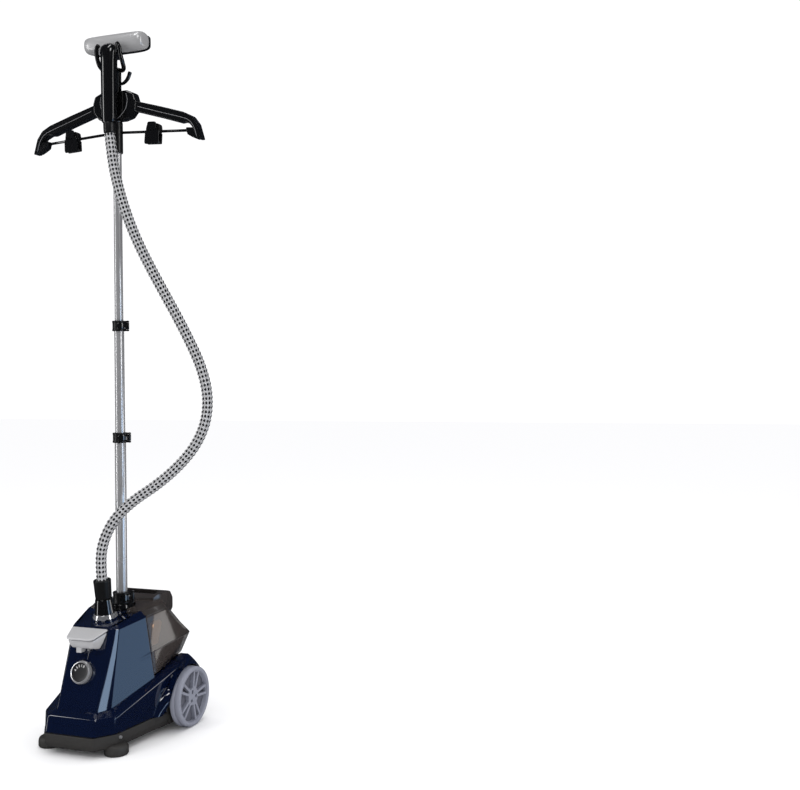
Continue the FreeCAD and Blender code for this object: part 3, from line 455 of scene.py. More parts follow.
def join(objs, name):
    """One object from several meshes, each with its own material."""
    me = bpy.data.meshes.new(name)
    bm = bmesh.new()
    mats = []
    for o in objs:
        tmp = baked(o)
        k = bmesh.new()
        k.from_mesh(tmp)
        base = len(mats)
        for f in k.faces:
            f.material_index += base
        mats += list(tmp.materials)
        t2 = bpy.data.meshes.new("t")
        k.to_mesh(t2)
        k.free()
        bm.from_mesh(t2)
        bpy.data.meshes.remove(t2)
    bm.to_mesh(me)
    bm.free()
    for m in mats:
        me.materials.append(m)
    return me


def seam_y(z):
    return 9 + (185 - z) * 0.042


def panel_y(z):
    return -137 + (z - 90) * 55 / 163.0


# ------------------------------------------------------------------ casing
def chamfer(y0, x0, y1, x1, z, out, n=6):
    """Curved corner between the front panel and the flank at one height."""
    a, b = V((x0, y0)), V((x1, y1))
    d = (b - a)
    nrm = V((d.y, -d.x)).normalized()
    if nrm.x < 0:
        nrm = -nrm
    return [tuple((a + d * (k / n) + nrm * out * 4 * (k / n) * (1 - k / n)).to_3d() + V((0, 0, z))) for k in range(n + 1)]


rings = []
for k in range(9):
    t = k / 8
    z = 74 + (252 - 74) * t
    fx = 49.5 + (45 - 49.5) * (z - 70) / 183
    sx_, sy_ = 69 - 8 * (z - 70) / 184, -105.4 + 43.4 * (z - 70) / 184
    arc = chamfer(panel_y(z), fx, sy_, sx_, z, 1.3)
    zr = min(z, 250)
    rx = 107.9 - 15.9 * (z - 70) / 114.5 if z < 184.5 else 92 - 10 * (z - 184.5) / 79.5
    right = arc + [(rx, seam_y(z) - 0.4, z)]
    rings.append(right + [(-x, y, zz) for x, y, zz in reversed(right)])
top_edge = rings[-1]
bm = bmesh.new()
n = len(rings[0])
rows = [[bm.verts.new(V(q) / 1000) for q in ring] for ring in rings]
for a, b in zip(rows, rows[1:]):
    for i in range(n - 1):
        bm.faces.new((a[i], a[i + 1], b[i + 1], b[i]))
    bm.faces.new((a[n - 1], a[0], b[0], b[n - 1]))
rows_keep = rows
# flank corner to the rear, ribbed bevel and dished deck
top = rows[-1]
C = bm.verts.new(V((82, seam_y(264) - 0.4, 264)) / 1000)
Cm = bm.verts.new(V((-82, seam_y(264) - 0.4, 264)) / 1000)
E = bm.verts.new(V((67, seam_y(277.5) - 0.4, 277.5)) / 1000)
Em = bm.verts.new(V((-67, seam_y(277.5) - 0.4, 277.5)) / 1000)
FE = bm.verts.new(V((52, -60, 259.5)) / 1000)
FEm = bm.verts.new(V((-52, -60, 259.5)) / 1000)
FF = bm.verts.new(V((43, -74, 256.3)) / 1000)
FFm = bm.verts.new(V((-43, -74, 256.3)) / 1000)
na = 7
# +X side: top[0..6] chamfer from the panel edge to the flank edge, top[7] the flank's rear
bm.faces.new((top[6], top[7], C))
bm.faces.new((top[6], C, E, FE))
for i in range(3, 6):
    bm.faces.new((top[i], top[i + 1], FE))
bm.faces.new((top[3], FE, FF))
for i in range(0, 3):
    bm.faces.new((top[i], top[i + 1], FF))
m_ = lambda i: top[n - 1 - i]
bm.faces.new((C, top[7], m_(7), Cm))
bm.faces.new((m_(6), Cm, m_(7)))
bm.faces.new((m_(6), FEm, Em, Cm))
for i in range(3, 6):
    bm.faces.new((m_(i), FEm, m_(i + 1)))
bm.faces.new((m_(3), FFm, FEm))
for i in range(0, 3):
    bm.faces.new((m_(i), FFm, m_(i + 1)))
bm.faces.new((top[0], FF, FFm, m_(0)))
# deck, lower in the middle and towards the rear
def deck_z(x, y):
    e = 256.3 + (y + 74) * (277.5 - 256.3) / 80.0
    half = 43 + (y + 74) * 24 / 80.0
    u = min(1.0, abs(x) / half)
    return e - 9.5 * (1 - u ** 2.5) * max(0.0, (y + 74) / 80.0)
cols = [-1, -0.86, -0.7, -0.5, -0.25, 0, 0.25, 0.5, 0.7, 0.86, 1]
grid = []
for j in range(7):
    y = -74 + (seam_y(272) - 0.4 + 74) * j / 6
    half = 43 + (y + 74) * 24 / 80.0
    row = []
    for c in cols:
        row.append(bm.verts.new(V((c * half, y, deck_z(c * half, y))) / 1000))
    grid.append(row)
for a, b in zip(grid, grid[1:]):
    for i in range(len(cols) - 1):
        bm.faces.new((a[i], a[i + 1], b[i + 1], b[i]))
tower = build(bm, "casing_front", NAVY, "base", "main_housing", bevel=1.6, seg=3, angle=22)

sk = {"a": (61, -163, 44.5), "b": (61, -154, 80), "c": (49, -137, 90), "d": (92, -122, 44.5), "e": (90, -123, 80), "f": (68, -100, 93),
      "g": (106, -1, 44.5), "h": (110.4, -1, 117.4), "i": (99, 12, 131.5), "j": (126.5, 88, 44.5), "k": (124.5, 88, 144.6), "l": (100, 88, 146.3)}
bm = sym(sk, ["a b b- a-", "b c c- b-", "a d e b", "b e f c", "d g h e", "g j k h", "e h i f", "h k l i", "c f f- c-", "f i i- f-", "i l l- i-", "j k l l- k- j-", "a d g j j- g- d- a-"])
build(bm, "casing_skirt", NAVY, "base", bevel=4.0, seg=5, angle=12)

# ribbed bevel strips along the upper edges
def ribs(a0, a1, b0, b1, count, high, name, mat, body, lift):
    """Small triangular ribs across a strip between edge a (a0-a1) and edge b (b0-b1)."""
    a0, a1, b0, b1 = V(a0), V(a1), V(b0), V(b1)
    nrm = (a1 - a0).cross(b0 - a0).normalized()
    if nrm.z < 0:
        nrm = -nrm
    bm = bmesh.new()
    rows = []
    for i in range(2 * count + 1):
        t = i / (2 * count)
        h = (high if i % 2 else 0.0) + lift
        a, b = a0.lerp(a1, t), b0.lerp(b1, t)
        rows.append([bm.verts.new((a - nrm * 0.4) / 1000), bm.verts.new((a.lerp(b, 0.06) + nrm * h) / 1000), bm.verts.new((a.lerp(b, 0.94) + nrm * h) / 1000), bm.verts.new((b - nrm * 0.4) / 1000)])
    for p_, q in zip(rows, rows[1:]):
        for k in range(3):
            bm.faces.new((p_[k], p_[k + 1], q[k + 1], q[k]))
    return build(bm, name, mat, body, (), 20)


for s, side in ((1, "r"), (-1, "l")):
    ribs((s * 61.5, -58, 252.6), (s * 81.6, 6.5, 263.4), (s * 53, -57.5, 260.4), (s * 67.6, 6.2, 276.8), 34, 0.75, "casing_ribs_" + side, NAVY, "base", 0.15)
    # fold mark on the flank that runs forward from the seam
    def fl(y, z, out):
        x = 68 + 0.325 * (y + 100) - 0.125 * (z - 93)
        return (s * (x + out), y, z)
    bm = faces_bm([fl(-58, 168.2, -0.4), fl(9.5, 186.5, 0.9), fl(9.5, 181.5, -1.2), fl(9.5, 178.0, 0.25), fl(-20, 172.6, 0.3)], [(0, 1, 2), (0, 2, 3, 4)])
    build(bm, "casing_fold_" + side, NAVY, "base", (), 10)

# bosses on the deck
LEAN = math.radians(7)
HN = V((0, -math.sin(LEAN), math.cos(LEAN)))
B0 = V((0, -30.5, 265.7))
lathe(arc_profile([(44, -20), (33.5, -13.5), (29.5, -9), (28.6, -1.2), (27.4, 0.1), (15.2, 0.1), (15.2, 42), (14, 43), (8.2, 43), (8.2, 20)], 1.2), B0, HN, "port_boss", NAVY, "base", "hose_port")
lathe(arc_profile([(15.4, 0.6), (26.6, 0.6), (27.5, 1.6), (26.9, 3.0), (23.8, 10.4), (22.9, 11.1), (15.4, 11.1)], 0.6), B0, HN, "hose_ring_chrome", CHROME, "hose_lock", "hose_ring")


def collar_wave(i, j):
    a = 2 * math.pi * i / 96
    return 0


col = lathe(arc_profile([(15.4, 11.4), (23.2, 11.4), (23.4, 12.2), (22.0, 20), (20.4, 32), (18.6, 42.6), (17.8, 43.8), (15.4, 43.8)], 0.5), B0, HN, "hose_collar_tmp", BLACK, None, (), 96)
cut_ = []
bx, by, bz = basis(HN)
for deg in (-38, 142):
    a = math.radians(deg)
    d = bx * math.cos(a) + by * math.sin(a)
    e = bz.cross(d)
    o_ = B0 + d * 31.5 + bz * 27
    ring_ = []
    for h in (-9.6, 9.6):
        ring_.append([tuple(o_ + e * x + (bz - d * 0.15).normalized() * z + d * h) for x, z in rounded([(-5.5, -12), (5.5, -12), (4, 12), (-4, 12)], 3.9, 5)])
    c_ = loft(ring_, "cutter", None)
    cut_.append(c_)
me = carve(col, cut_)
bevelled("hose_collar_grip", me, BLACK, "hose_lock", "hose_collar", 0.8, 2, 30)
lathe(arc_profile([(9.2, 40), (14.8, 40), (15, 44.4), (17.2, 44.7), (17.8, 45.8), (19.0, 78), (19.4, 84.5), (18.7, 86.3), (12.4, 86.6), (9.2, 86.6)], 0.6), B0, HN, "hose_cuff_sleeve", SATIN, "base", "hose_cuff")

PY = 33.0
lathe(arc_profile([(46, 252), (36.5, 262), (31.5, 268), (30, 271.4), (29.2, 272.2), (25.2, 272.2), (25.2, 155)], 1.5), (0, PY, 0), (0, 0, 1), "pole_boss", NAVY, "base")
lathe(arc_profile([(12.7, 158), (25, 158), (25, 272.4), (27.4, 272.6), (27.6, 276), (25.4, 284), (24.2, 285), (12.7, 285)], 0.9), (0, PY, 0), (0, 0, 1), "pole_collar", BLACK, "base", "pole_socket")


def clamp_body(z0, h1, r, bore, ang, name, node, body, mat=SATIN):
    """Clamp ring with a lip at each end and the lugs for its lever."""
    a = math.radians(ang)
    ring_ = lathe(arc_profile([(bore, z0 + 0.2), (r - 0.8, z0 + 0.2), (r, z0 + 1.2), (r, z0 + 4.2), (r - 0.7, z0 + 5), (r - 0.7, z0 + h1 - 5), (r, z0 + h1 - 4.2), (r, z0 + h1 - 1.2), (r - 0.8, z0 + h1 - 0.1), (bore, z0 + h1 - 0.1)], 0.5), (0, PY, 0), (0, 0, 1), name + "_a", mat)
    parts_ = [ring_]
    for zz in (z0 + 0.3, z0 + h1 - 4):
        out = []
        for q in rounded([(r - 3, -4.2), (r + 5.5, -3.9), (r + 8, 0), (r + 5.5, 3.9), (r - 3, 4.2)], 3, 5):
            out.append((q[0] * math.cos(a) - q[1] * math.sin(a), PY + q[0] * math.sin(a) + q[1] * math.cos(a)))
        parts_.append(prism(out, "Z", zz, zz + 3.7, name + "_lug", mat, bevel=0.6, seg=2))
    me_ = join(parts_, name)
    return link(name, me_, None, body, node, 40)


def lever(z0, h1, r, ang, pad, name, node, body, mat=BLACK):
    """Curved lever pad with rounded corners, its knuckle and its pin."""
    z1, hh = z0 + 4.5, h1 - 9.0
    bm = bmesh.new()
    nu, nv = 22, 8
    outer, inner = [], []
    for i in range(nu + 1):
        u = i / nu
        w = 1.0
        e = min(u * pad * math.pi / 180 * r, 99)
        if e < 5:
            w = 1 - 0.32 * (1 - e / 5) ** 2
        for lst, rr in ((outer, r + 3.2), (inner, r + 0.7)):
            row = []
            for k in range(nv + 1):
                vv = (k / nv - 0.5)
                edge = 1 - (abs(vv) * 2) ** 6
                rad = rr if lst is inner else rr - 0.9 * (1 - edge) - 0.9 * max(0, 1 - e / 2.0)
                a = math.radians(ang - pad + u * pad)
                row.append(bm.verts.new(V((rad * math.cos(a), PY + rad * math.sin(a), z1 + hh / 2 + vv * hh * w)) / 1000))
            lst.append(row)
    for lst in (outer, inner):
        for a, b in zip(lst, lst[1:]):
            for k in range(nv):
                bm.faces.new((a[k], a[k + 1], b[k + 1], b[k]))
    for a, b, c, d in zip(outer, outer[1:], inner, inner[1:]):
        for k in (0, nv):
            bm.faces.new((a[k], b[k], d[k], c[k]))
    for idx in (0, nu):
        for k in range(nv):
            bm.faces.new((outer[idx][k], outer[idx][k + 1], inner[idx][k + 1], inner[idx][k]))
    pad_o = build(bm, name + "_pad", mat, None, (), 45)
    a = math.radians(ang)
    c = ((r + 4) * math.cos(a), PY + (r + 4) * math.sin(a), 0)
    kn = lathe(arc_profile([(0, z1), (3.5, z1), (3.5, z1 + hh), (0, z1 + hh)], 0.5), c, (0, 0, 1), name + "_kn", mat, n=32)
    pn = lathe(arc_profile([(0, z0 - 0.3), (1.9, z0 - 0.3), (1.9, z0), (1.45, z0 + 0.1), (1.45, z0 + h1 - 0.1), (1.9, z0 + h1), (1.9, z0 + h1 + 0.4), (0, z0 + h1 + 0.4)], 0.3), c, (0, 0, 1), name + "_pin", STEEL, n=24)
    return link(name, join([pad_o, kn, pn], name), None, body, node, 40)


clamp_body(285.1, 26, 20.5, 12.7, 35, "socket_clamp_ring", "socket_clamp", "base")
lever(285.1, 26, 20.5, 35, 100, "socket_lever_pad", "socket_clamp_lever", "socket_lever")
clamp_body(650, 23, 17, 11.3, 20, "clamp_lower_ring", "clamp_lower", "base")
lever(650, 23, 17, 20, 90, "clamp_lower_pad", "clamp_lower_lever", "lower_lever")
clamp_body(904, 24, 15.5, 9.7, 20, "clamp_upper_ring", "clamp_upper", "pole_middle")
lever(904, 24, 15.5, 20, 90, "clamp_upper_pad", "clamp_upper_lever", "upper_lever")


def tube(r, bore, z0, z1, name, node, body):
    lathe(arc_profile([(bore, z0 + 0.5), (bore, z0), (r, z0), (r, z1), (bore, z1), (bore, z1 - 2)], 0.4, 3), (0, PY, 0), (0, 0, 1), name, POLE, body, node, 64)


tube(12.5, 11.1, 160, 668, "pole_tube_lower", "pole_lower", "base")
tube(11, 9.6, 540, 922, "pole_tube_middle", "pole_middle", "pole_middle")
tube(9.5, 8, 850, 1480, "pole_tube_upper", "pole_upper", "pole_upper")

# ------------------------------------------------------------------ knob
NRM = math.hypot(1, 55 / 163.0)
KN = V((0, -1 / NRM, 55 / 163.0 / NRM))
KC = V((0, panel_y(164.5), 164.5))
teeth = 110
prof = [(20.1, 1.2), (23.4, 1.0), (24.0, 1.6), (24.0, 9.4), (23.7, 10.0), (22.9, 10.5), (22.5, 12.2), (21.9, 12.9), (20.6, 13.1), (20.1, 12.4)]
bmn = teeth * 2
lathe(prof, KC, KN, "knob_ring_knurl", KNURL, "knob", "knob_ring", n=bmn, smooth=25, wave=lambda i, j: 0.45 if (i % 2 and j in (2, 3)) else 0.0)
face = lathe([(0, 9.2), (13, 9.2), (17.4, 9.6), (19.4, 10.6), (20.05, 11.0), (20.05, 2.0), (4, 2), (4, -20), (0, -20)], KC, KN, "knob_face", DIAL, "knob", "knob_dial", n=96)
lathe([(24.9, 0.0), (25.4, 0.5), (28.5, 0.35), (28.9, -0.5)], KC, KN, "knob_bezel", NAVY, "base")
kx = V((1, 0, 0))
kup = KN.cross(kx).normalized()
if kup.z < 0:
    kup = -kup
for i, (ch, deg) in enumerate((("0", 62), ("1", 88), ("2", 114), ("3", 140), ("4", 166))):
    cu = bpy.data.curves.new("digit_%s" % ch, "FONT")
    cu.body = ch
    cu.size = 0.0076
    cu.extrude = 0.00008
    cu.align_x = cu.align_y = "CENTER"
    d = bpy.data.objects.new("digit_%s" % ch, cu)
    bpy.context.scene.collection.objects.link(d)
    a = math.radians(deg)
    pos = (KC + KN * 9.85 + (kx * math.cos(a) + kup * math.sin(a)) * 13.6) / 1000
    outv = (kx * math.cos(a) + kup * math.sin(a))
    m4 = Matrix((kx.cross(V((0, 0, 0))) if False else (outv.cross(KN)), outv, KN)).transposed().to_4x4()
    m4.translation = pos
    d.matrix_world = m4
    dg = bpy.context.evaluated_depsgraph_get()
    me = bpy.data.meshes.new_from_object(d.evaluated_get(dg))
    me.transform(m4)
    bpy.data.objects.remove(d)
    me.materials.clear()
    link("digit_mark_%s" % ch, me, WHITE, "knob", (), 40)
# index line down the panel from the pedal's screw to the knob
def on_panel(x, z, out):
    return (x, panel_y(z) - out, z + out * 0.3)
bm = faces_bm([on_panel(5.7, 206, 0.25), on_panel(6.9, 206, 0.25), on_panel(4.6, 191, 0.25), on_panel(5.2, 191, 0.25)], [(0, 1, 3, 2)])
build(bm, "index_line", LINE, "base")
lathe([(0, 3.6), (1.2, 3.6), (2.7, 3.2), (3.3, 2.2), (3.3, 0.1)], (7, panel_y(210.5) - 1, 210.5), (0, -0.947, 0.32), "pedal_screw_head", STEEL, "base", n=32)

# ------------------------------------------------------------------ pedal
def trap(yb, yf, wb, wf, zb, zf, r=9, n=8, inset=0.0):
    """Rounded trapezoid, wide at the rear."""
    o_ = rounded([(wb - inset, yb - inset * 0.3), (wf - inset, yf + inset), (-wf + inset, yf + inset), (-wb + inset, yb - inset * 0.3)], [2, r, r, 2], n)
    return [(x, y, zb + (zf - zb) * (y - yb) / (yf - yb)) for x, y in o_]


def shift(ring, dz, dy=0.0):
    return [(x, y + dy, z + dz) for x, y, z in ring]


t0 = trap(-85.6, -126.6, 46, 33, 255.0, 240.6, 13)
t1 = trap(-85.6, -126.6, 46, 33, 255.0, 240.6, 13, inset=1.6)
t2 = trap(-85.6, -126.6, 46, 33, 255.0, 240.6, 13, inset=5.0)
loft([shift(t1, -3.8), shift(t0, -3.0), shift(t0, -1.1), shift(t1, -0.1), shift(t2, 0.35)], "pedal_lid", SILVER, "pedal", "pedal_plate", smooth=50)
b0 = trap(-86.5, -121, 44, 31, 247.6, 234.6, 12)
b1 = trap(-87.0, -121.5, 44, 31.5, 244.0, 231.6, 12)
b2 = trap(-91, -119.5, 38.5, 29.5, 228, 224, 10)
b3 = trap(-95, -115.5, 34.5, 27, 217, 219.6, 8)
b4 = trap(-97.0, -112.5, 32, 24.5, 214.4, 217.2, 6)
loft([b4, b3, b2, b1, b0], "pedal_bowl", SILVER, "base", ("pedal_housing",), smooth=50)
prism(rounded([(-16, 206.8), (-3, 206.8), (-3, 218.5), (-16, 218.5)], 1.2, 3), "Y", -112.8, -97.5, "pedal_tab", SILVER, "base", bevel=0.8, seg=2)
prism(rounded([(-93.5, 236), (-89.2, 238), (-86, 246), (-86, 252.2), (-90, 251.5)], 1.0, 3), "X", -30, 30, "pedal_hinge_bar", SATIN, "base", bevel=0.5, seg=2)

# ------------------------------------------------------------------ tank
def tank_floor(y):
    return 133.5 + 0.175 * (y - 12.5)


ya = seam_y(133.5) + 0.7
TC = {"a": (98.8, ya, tank_floor(ya)), "b": (92, seam_y(184.5) + 0.7, 184.5), "c": (82, seam_y(264) + 0.7, 264), "d": (67, seam_y(277.5) + 0.7, 277.5),
      "e": (97, 66, 272), "f": (65, 96, 285), "g": (113.4, 138, 204), "h": (97, 149.3, 205), "i": (91.5, 134, tank_floor(134)), "j": (80, 141, tank_floor(141))}
bm = sym(TC, ["a b b- a-", "b c c- b-", "c d d- c-", "d f f- d-", "c e f", "c f d", "b g e", "b e c", "a i g", "a g b", "e g h", "e h f", "i j h", "i h g", "f h h- f-", "h j j- h-", "a i j j- i- a-"])
tmp = build(bm, "tank_tmp", TANK)
me0 = tmp.data
bpy.data.objects.remove(tmp)
full = bevelled("tank_full", me0, TANK, None, (), 3.0, 4, 8)
full.modifiers.clear()
notch = prism([(31.3 * math.cos(math.radians(a)), PY + 31.3 * math.sin(math.radians(a))) for a in range(0, 181, 6)] + [(-31.3, -30), (31.3, -30)], "Z", 100, 320, "notch", TANK)
plug_hole = lathe([(0, 280), (9.2, 280), (9.2, 290), (0, 290)], (0, 76, 0), (0, 0, 1), "ph", TANK, n=48)
me = carve(full, [notch, plug_hole])
slope_t = (204 - 184.5) / 128.0
pn_ = V((0, -slope_t, 1)).normalized()
pc = V((0, 10, 184.5)) / 1000


def half_tank(upper):
    bm = bmesh.new()
    bm.from_mesh(me)
    geom = bm.verts[:] + bm.edges[:] + bm.faces[:]
    off = pn_ * (0.00025 if upper else -0.00025)
    res = bmesh.ops.bisect_plane(bm, geom=geom, plane_co=pc + off, plane_no=pn_ if upper else -pn_, clear_inner=True, dist=1e-6)
    bmesh.ops.holes_fill(bm, edges=[e for e in bm.edges if e.is_boundary])
    return bm


bm = half_tank(True)
up = build(bm, "tank_top_half", TANK, "tank", "tank_upper", 24)
bm = half_tank(False)
dn = build(bm, "tank_bottom_half", TANK, "tank", "tank_lower", 24)
# dark groove where the halves meet
bm = bmesh.new()
bm.from_mesh(me)
res = bmesh.ops.bisect_plane(bm, geom=bm.verts[:] + bm.edges[:] + bm.faces[:], plane_co=pc - pn_ * 0.0009, plane_no=-pn_, clear_outer=False, clear_inner=True, dist=1e-6)
res = bmesh.ops.bisect_plane(bm, geom=bm.verts[:] + bm.edges[:] + bm.faces[:], plane_co=pc - pn_ * 0.0021, plane_no=pn_, clear_inner=True, dist=1e-6)
bmesh.ops.holes_fill(bm, edges=[e for e in bm.edges if e.is_boundary])
for v in bm.verts:
    v.co.x *= 1.004
    v.co.y = 0.078 + (v.co.y - 0.078) * 1.004
build(bm, "tank_seam", TANK_D, "tank", (), 24)
# dark inner wall and the brown chamber seen through the smoke wall
lm = me.copy()
for v in lm.vertices:
    v.co.x *= 0.93
    v.co.y = 0.082 + (v.co.y - 0.082) * 0.96
    v.co.z = 0.212 + (v.co.z - 0.212) * 0.96
link("tank_liner", lm, None, "tank", (), 24).data.materials.clear()
bpy.data.objects["tank_liner"].data.materials.append(TANK_D)
for s, side in ((1, "r"), (-1, "l")):
    rings_ = []
    for x, k in ((82, 1.0), (88.0, 1.0), (89.6, 0.93)):
        base_ = rounded([(20, 197), (46, 196), (62, 214), (62, 236), (52, 249), (30, 250), (20, 243)], [3, 14, 16, 14, 12, 6, 3], 5)
        rings_.append([(s * (x + 0.02 * (y - 40)), 40 + (y - 40) * k, 222 + (z - 222) * k) for y, z in base_])
    loft(rings_, "tank_chamber_" + side, TANK_B, "tank", (), 50)
# embossed plug
lathe(arc_profile([(0, 286.1), (5.2, 286.1), (5.8, 285.5), (7.4, 285.5), (8.3, 286.0), (8.9, 285.3), (8.9, 281)], 0.4), (0, 76, -0.9), (0, 0, 1), "tank_plug_cap", TANK_D, "tank", "tank_plug", 48)
# ribbed band along the tank's upper side edge
for s, side in ((1, "r"), (-1, "l")):
    ribs((s * 82.4, 10.6, 264.4), (s * 96.6, 65, 272.4), (s * 69, 10.6, 276.6), (s * 80.5, 73.5, 279.2), 36, 0.5, "tank_ribs_" + side, TANK_D, "tank", 0.05)

# carry handle
side_pts = rounded([(84, 270), (84, 288), (92, 294.5), (128, 298), (136, 295), (153, 270), (152, 261), (141, 249.8), (116, 249.8)], [2, 6, 10, 5, 5, 5, 4, 4, 2], 5)
hb = prism(side_pts, "X", -62, 62, "hb", TANK_D)
pl_ = rounded([(46, 78), (59, 98), (62, 122), (62, 146), (56, 156), (-56, 156), (-62, 146), (-62, 122), (-59, 98), (-46, 78)], [6, 12, 10, 8, 7, 7, 8, 10, 12, 6], 5)
hp_ = prism(pl_, "Z", 230, 320, "hp", TANK_D)
me = carve(hb, [hp_], "INTERSECT")
hb = link("hb2", me, TANK_D)
hole_r = []
for z_, y0_, y1_ in ((312, 97, 121), (296.5, 97, 121.5), (270, 97.5, 138.2), (240, 97.5, 138.2)):
    hole_r.append([(x, y, z_) for x, y in rounded([(43, y0_), (43, y1_), (-43, y1_), (-43, y0_)], 7, 5)])
hc = loft(hole_r, "hc", TANK_D)
me = carve(hb, [hc])
bevelled("carry_handle", me, TANK_D, "tank", "tank_handle", 1.8, 3, 32)

# ------------------------------------------------------------------ rear cover and arches
PK = [(106.4, -7, 45), (112.6, 15, 82), (119.8, 50, 113), (125.6, 80, 138.5), (124.5, 97, 153), (121, 111, 158.8), (119, 126, 152), (118, 143, 134), (117, 157, 114), (116, 163.5, 95), (115.5, 164.8, 66), (115.5, 164.8, 45)]
LK = [(118, 14, 45), (127, 23.6, 68), (134, 34, 104), (136, 53, 125), (136, 76, 136), (136, 97, 138.6), (135.6, 118, 135), (134.4, 139, 125), (132.5, 154, 109), (129, 163.4, 89), (124, 164.8, 63), (122, 164.8, 45)]


def crom(pts, per=4):
    return smooth_path(pts, per)


PP, LL = crom(PK), crom(LK)
for s, side in ((1, "r"), (-1, "l")):
    bm = bmesh.new()
    rows = []
    for p_, l_ in zip(PP, LL):
        c = V((max(l_.x - 0.5, p_.x + 3), p_.y * 0.6 + l_.y * 0.4, p_.z * 0.6 + l_.z * 0.4))
        row = [V((p_.x - 1.6, p_.y, p_.z)) + (p_ - l_).normalized() * 0.2]
        for k in range(9):
            u = k / 8
            row.append((p_ * (1 - u) + c * u) * (1 - u) + (c * (1 - u) + l_ * u) * u)
        row.append(V((l_.x - 2.5, *(V((l_.y, l_.z)) + (V((96, 67)) - V((l_.y, l_.z))).normalized() * 1.4))))
        row.append(V((118, *(V((l_.y, l_.z)) + (V((96, 67)) - V((l_.y, l_.z))).normalized() * 1.4))))
        rows.append([bm.verts.new(V((s * q.x, q.y, q.z)) / 1000) for q in row])
    for a, b in zip(rows, rows[1:]):
        for k in range(len(a) - 1):
            bm.faces.new((a[k], a[k + 1], b[k + 1], b[k]))
    build(bm, "arch_cover_" + side, NAVY, "base", "rear_cover" if s > 0 else (), 42)
    # inner wall of the wheel well
    bm = bmesh.new()
    ring_ = [bm.verts.new(V((s * 118, min(164.4, 96 + 71 * math.cos(a)), max(44.5, 67 + 71 * math.sin(a)))) / 1000) for a in [math.radians(x) for x in range(-18, 199, 6)]]
    bm.faces.new(ring_)
    build(bm, "well_wall_" + side, CHAR, "base")
# rear deck between the arches
bm = bmesh.new()
rows = []
for p_ in PP[12:]:
    xs = [p_.x - 1.4, 108, 103, 101.6, 80, 40, 0]
    row = []
    for x in xs + [-x for x in reversed(xs[:-1])]:
        z = p_.z
        if abs(x) < 102 and p_.y < 150:
            z = min(z, tank_floor(p_.y) - 1.2)
        row.append(bm.verts.new(V((x, p_.y, z)) / 1000))
    rows.append(row)
for a, b in zip(rows, rows[1:]):
    for k in range(len(a) - 1):
        bm.faces.new((a[k], a[k + 1], b[k + 1], b[k]))
build(bm, "rear_deck", NAVY, "base", (), 40)
# shelf under the tank
bm = faces_bm([(101, 16, 132.6), (101, 117, 150.5), (-101, 117, 150.5), (-101, 16, 132.6)], [(0, 1, 2, 3)])
build(bm, "tank_shelf", NAVY, "base")

# ------------------------------------------------------------------ tray and feet
def tray_ring(inset, z, r=6):
    pts = [(61 - inset * 0.6, -165 + inset), (93 - inset, -122 + inset * 0.4), (107 - inset, -1), (115 - inset, 38), (115 - inset, 165 - inset)]
    pts = pts + [(-x, y) for x, y in reversed(pts)]
    return [(x, y, z) for x, y in rounded(pts, [10, 12, 30, 20, 14, 14, 20, 30, 12, 10], 6)]


loft([tray_ring(14, 14.2), tray_ring(6, 15.2), tray_ring(2.6, 19), tray_ring(1.0, 30), tray_ring(0.0, 43.2), tray_ring(0.8, 44.2), tray_ring(4, 44.4)], "tray_shell", CHAR, "base", "base_tray", smooth=40)
foot_me = []
for s in (1, -1):
    f = lathe([(0, 0.05), (21.5, 0.05), (24.6, 0.8), (25.8, 2.6), (26, 6), (26, 12), (25.3, 16.5), (23.2, 20), (19.5, 22.2), (0, 23.5)], (s * 84, -113.5, 0), (0, 0, 1), "foot_%d" % s, CHAR, n=64)
    foot_me.append(f)
link("feet_pads", join(foot_me, "feet_pads"), None, "base", "front_feet", 40)
for s in (1, -1):
    for (x, y) in ((s * 118, 52),):
        prism(rounded([(40, 18), (62, 18), (62, 40), (40, 40)], 3, 4), "X", s * 113 if s > 0 else s * 117.2, s * 117.2 if s > 0 else s * 113, "tray_rib_%s" % ("r" if s > 0 else "l"), CHAR, "base", bevel=1.0, seg=2)
    lathe([(0, 3.2), (2.4, 3.0), (3.4, 1.8), (3.6, 0)], (s * 93.2, -113, 36.5), (s * 0.93, -0.36, 0), "tray_screw_%s" % ("r" if s > 0 else "l"), STEEL, "base", n=28)

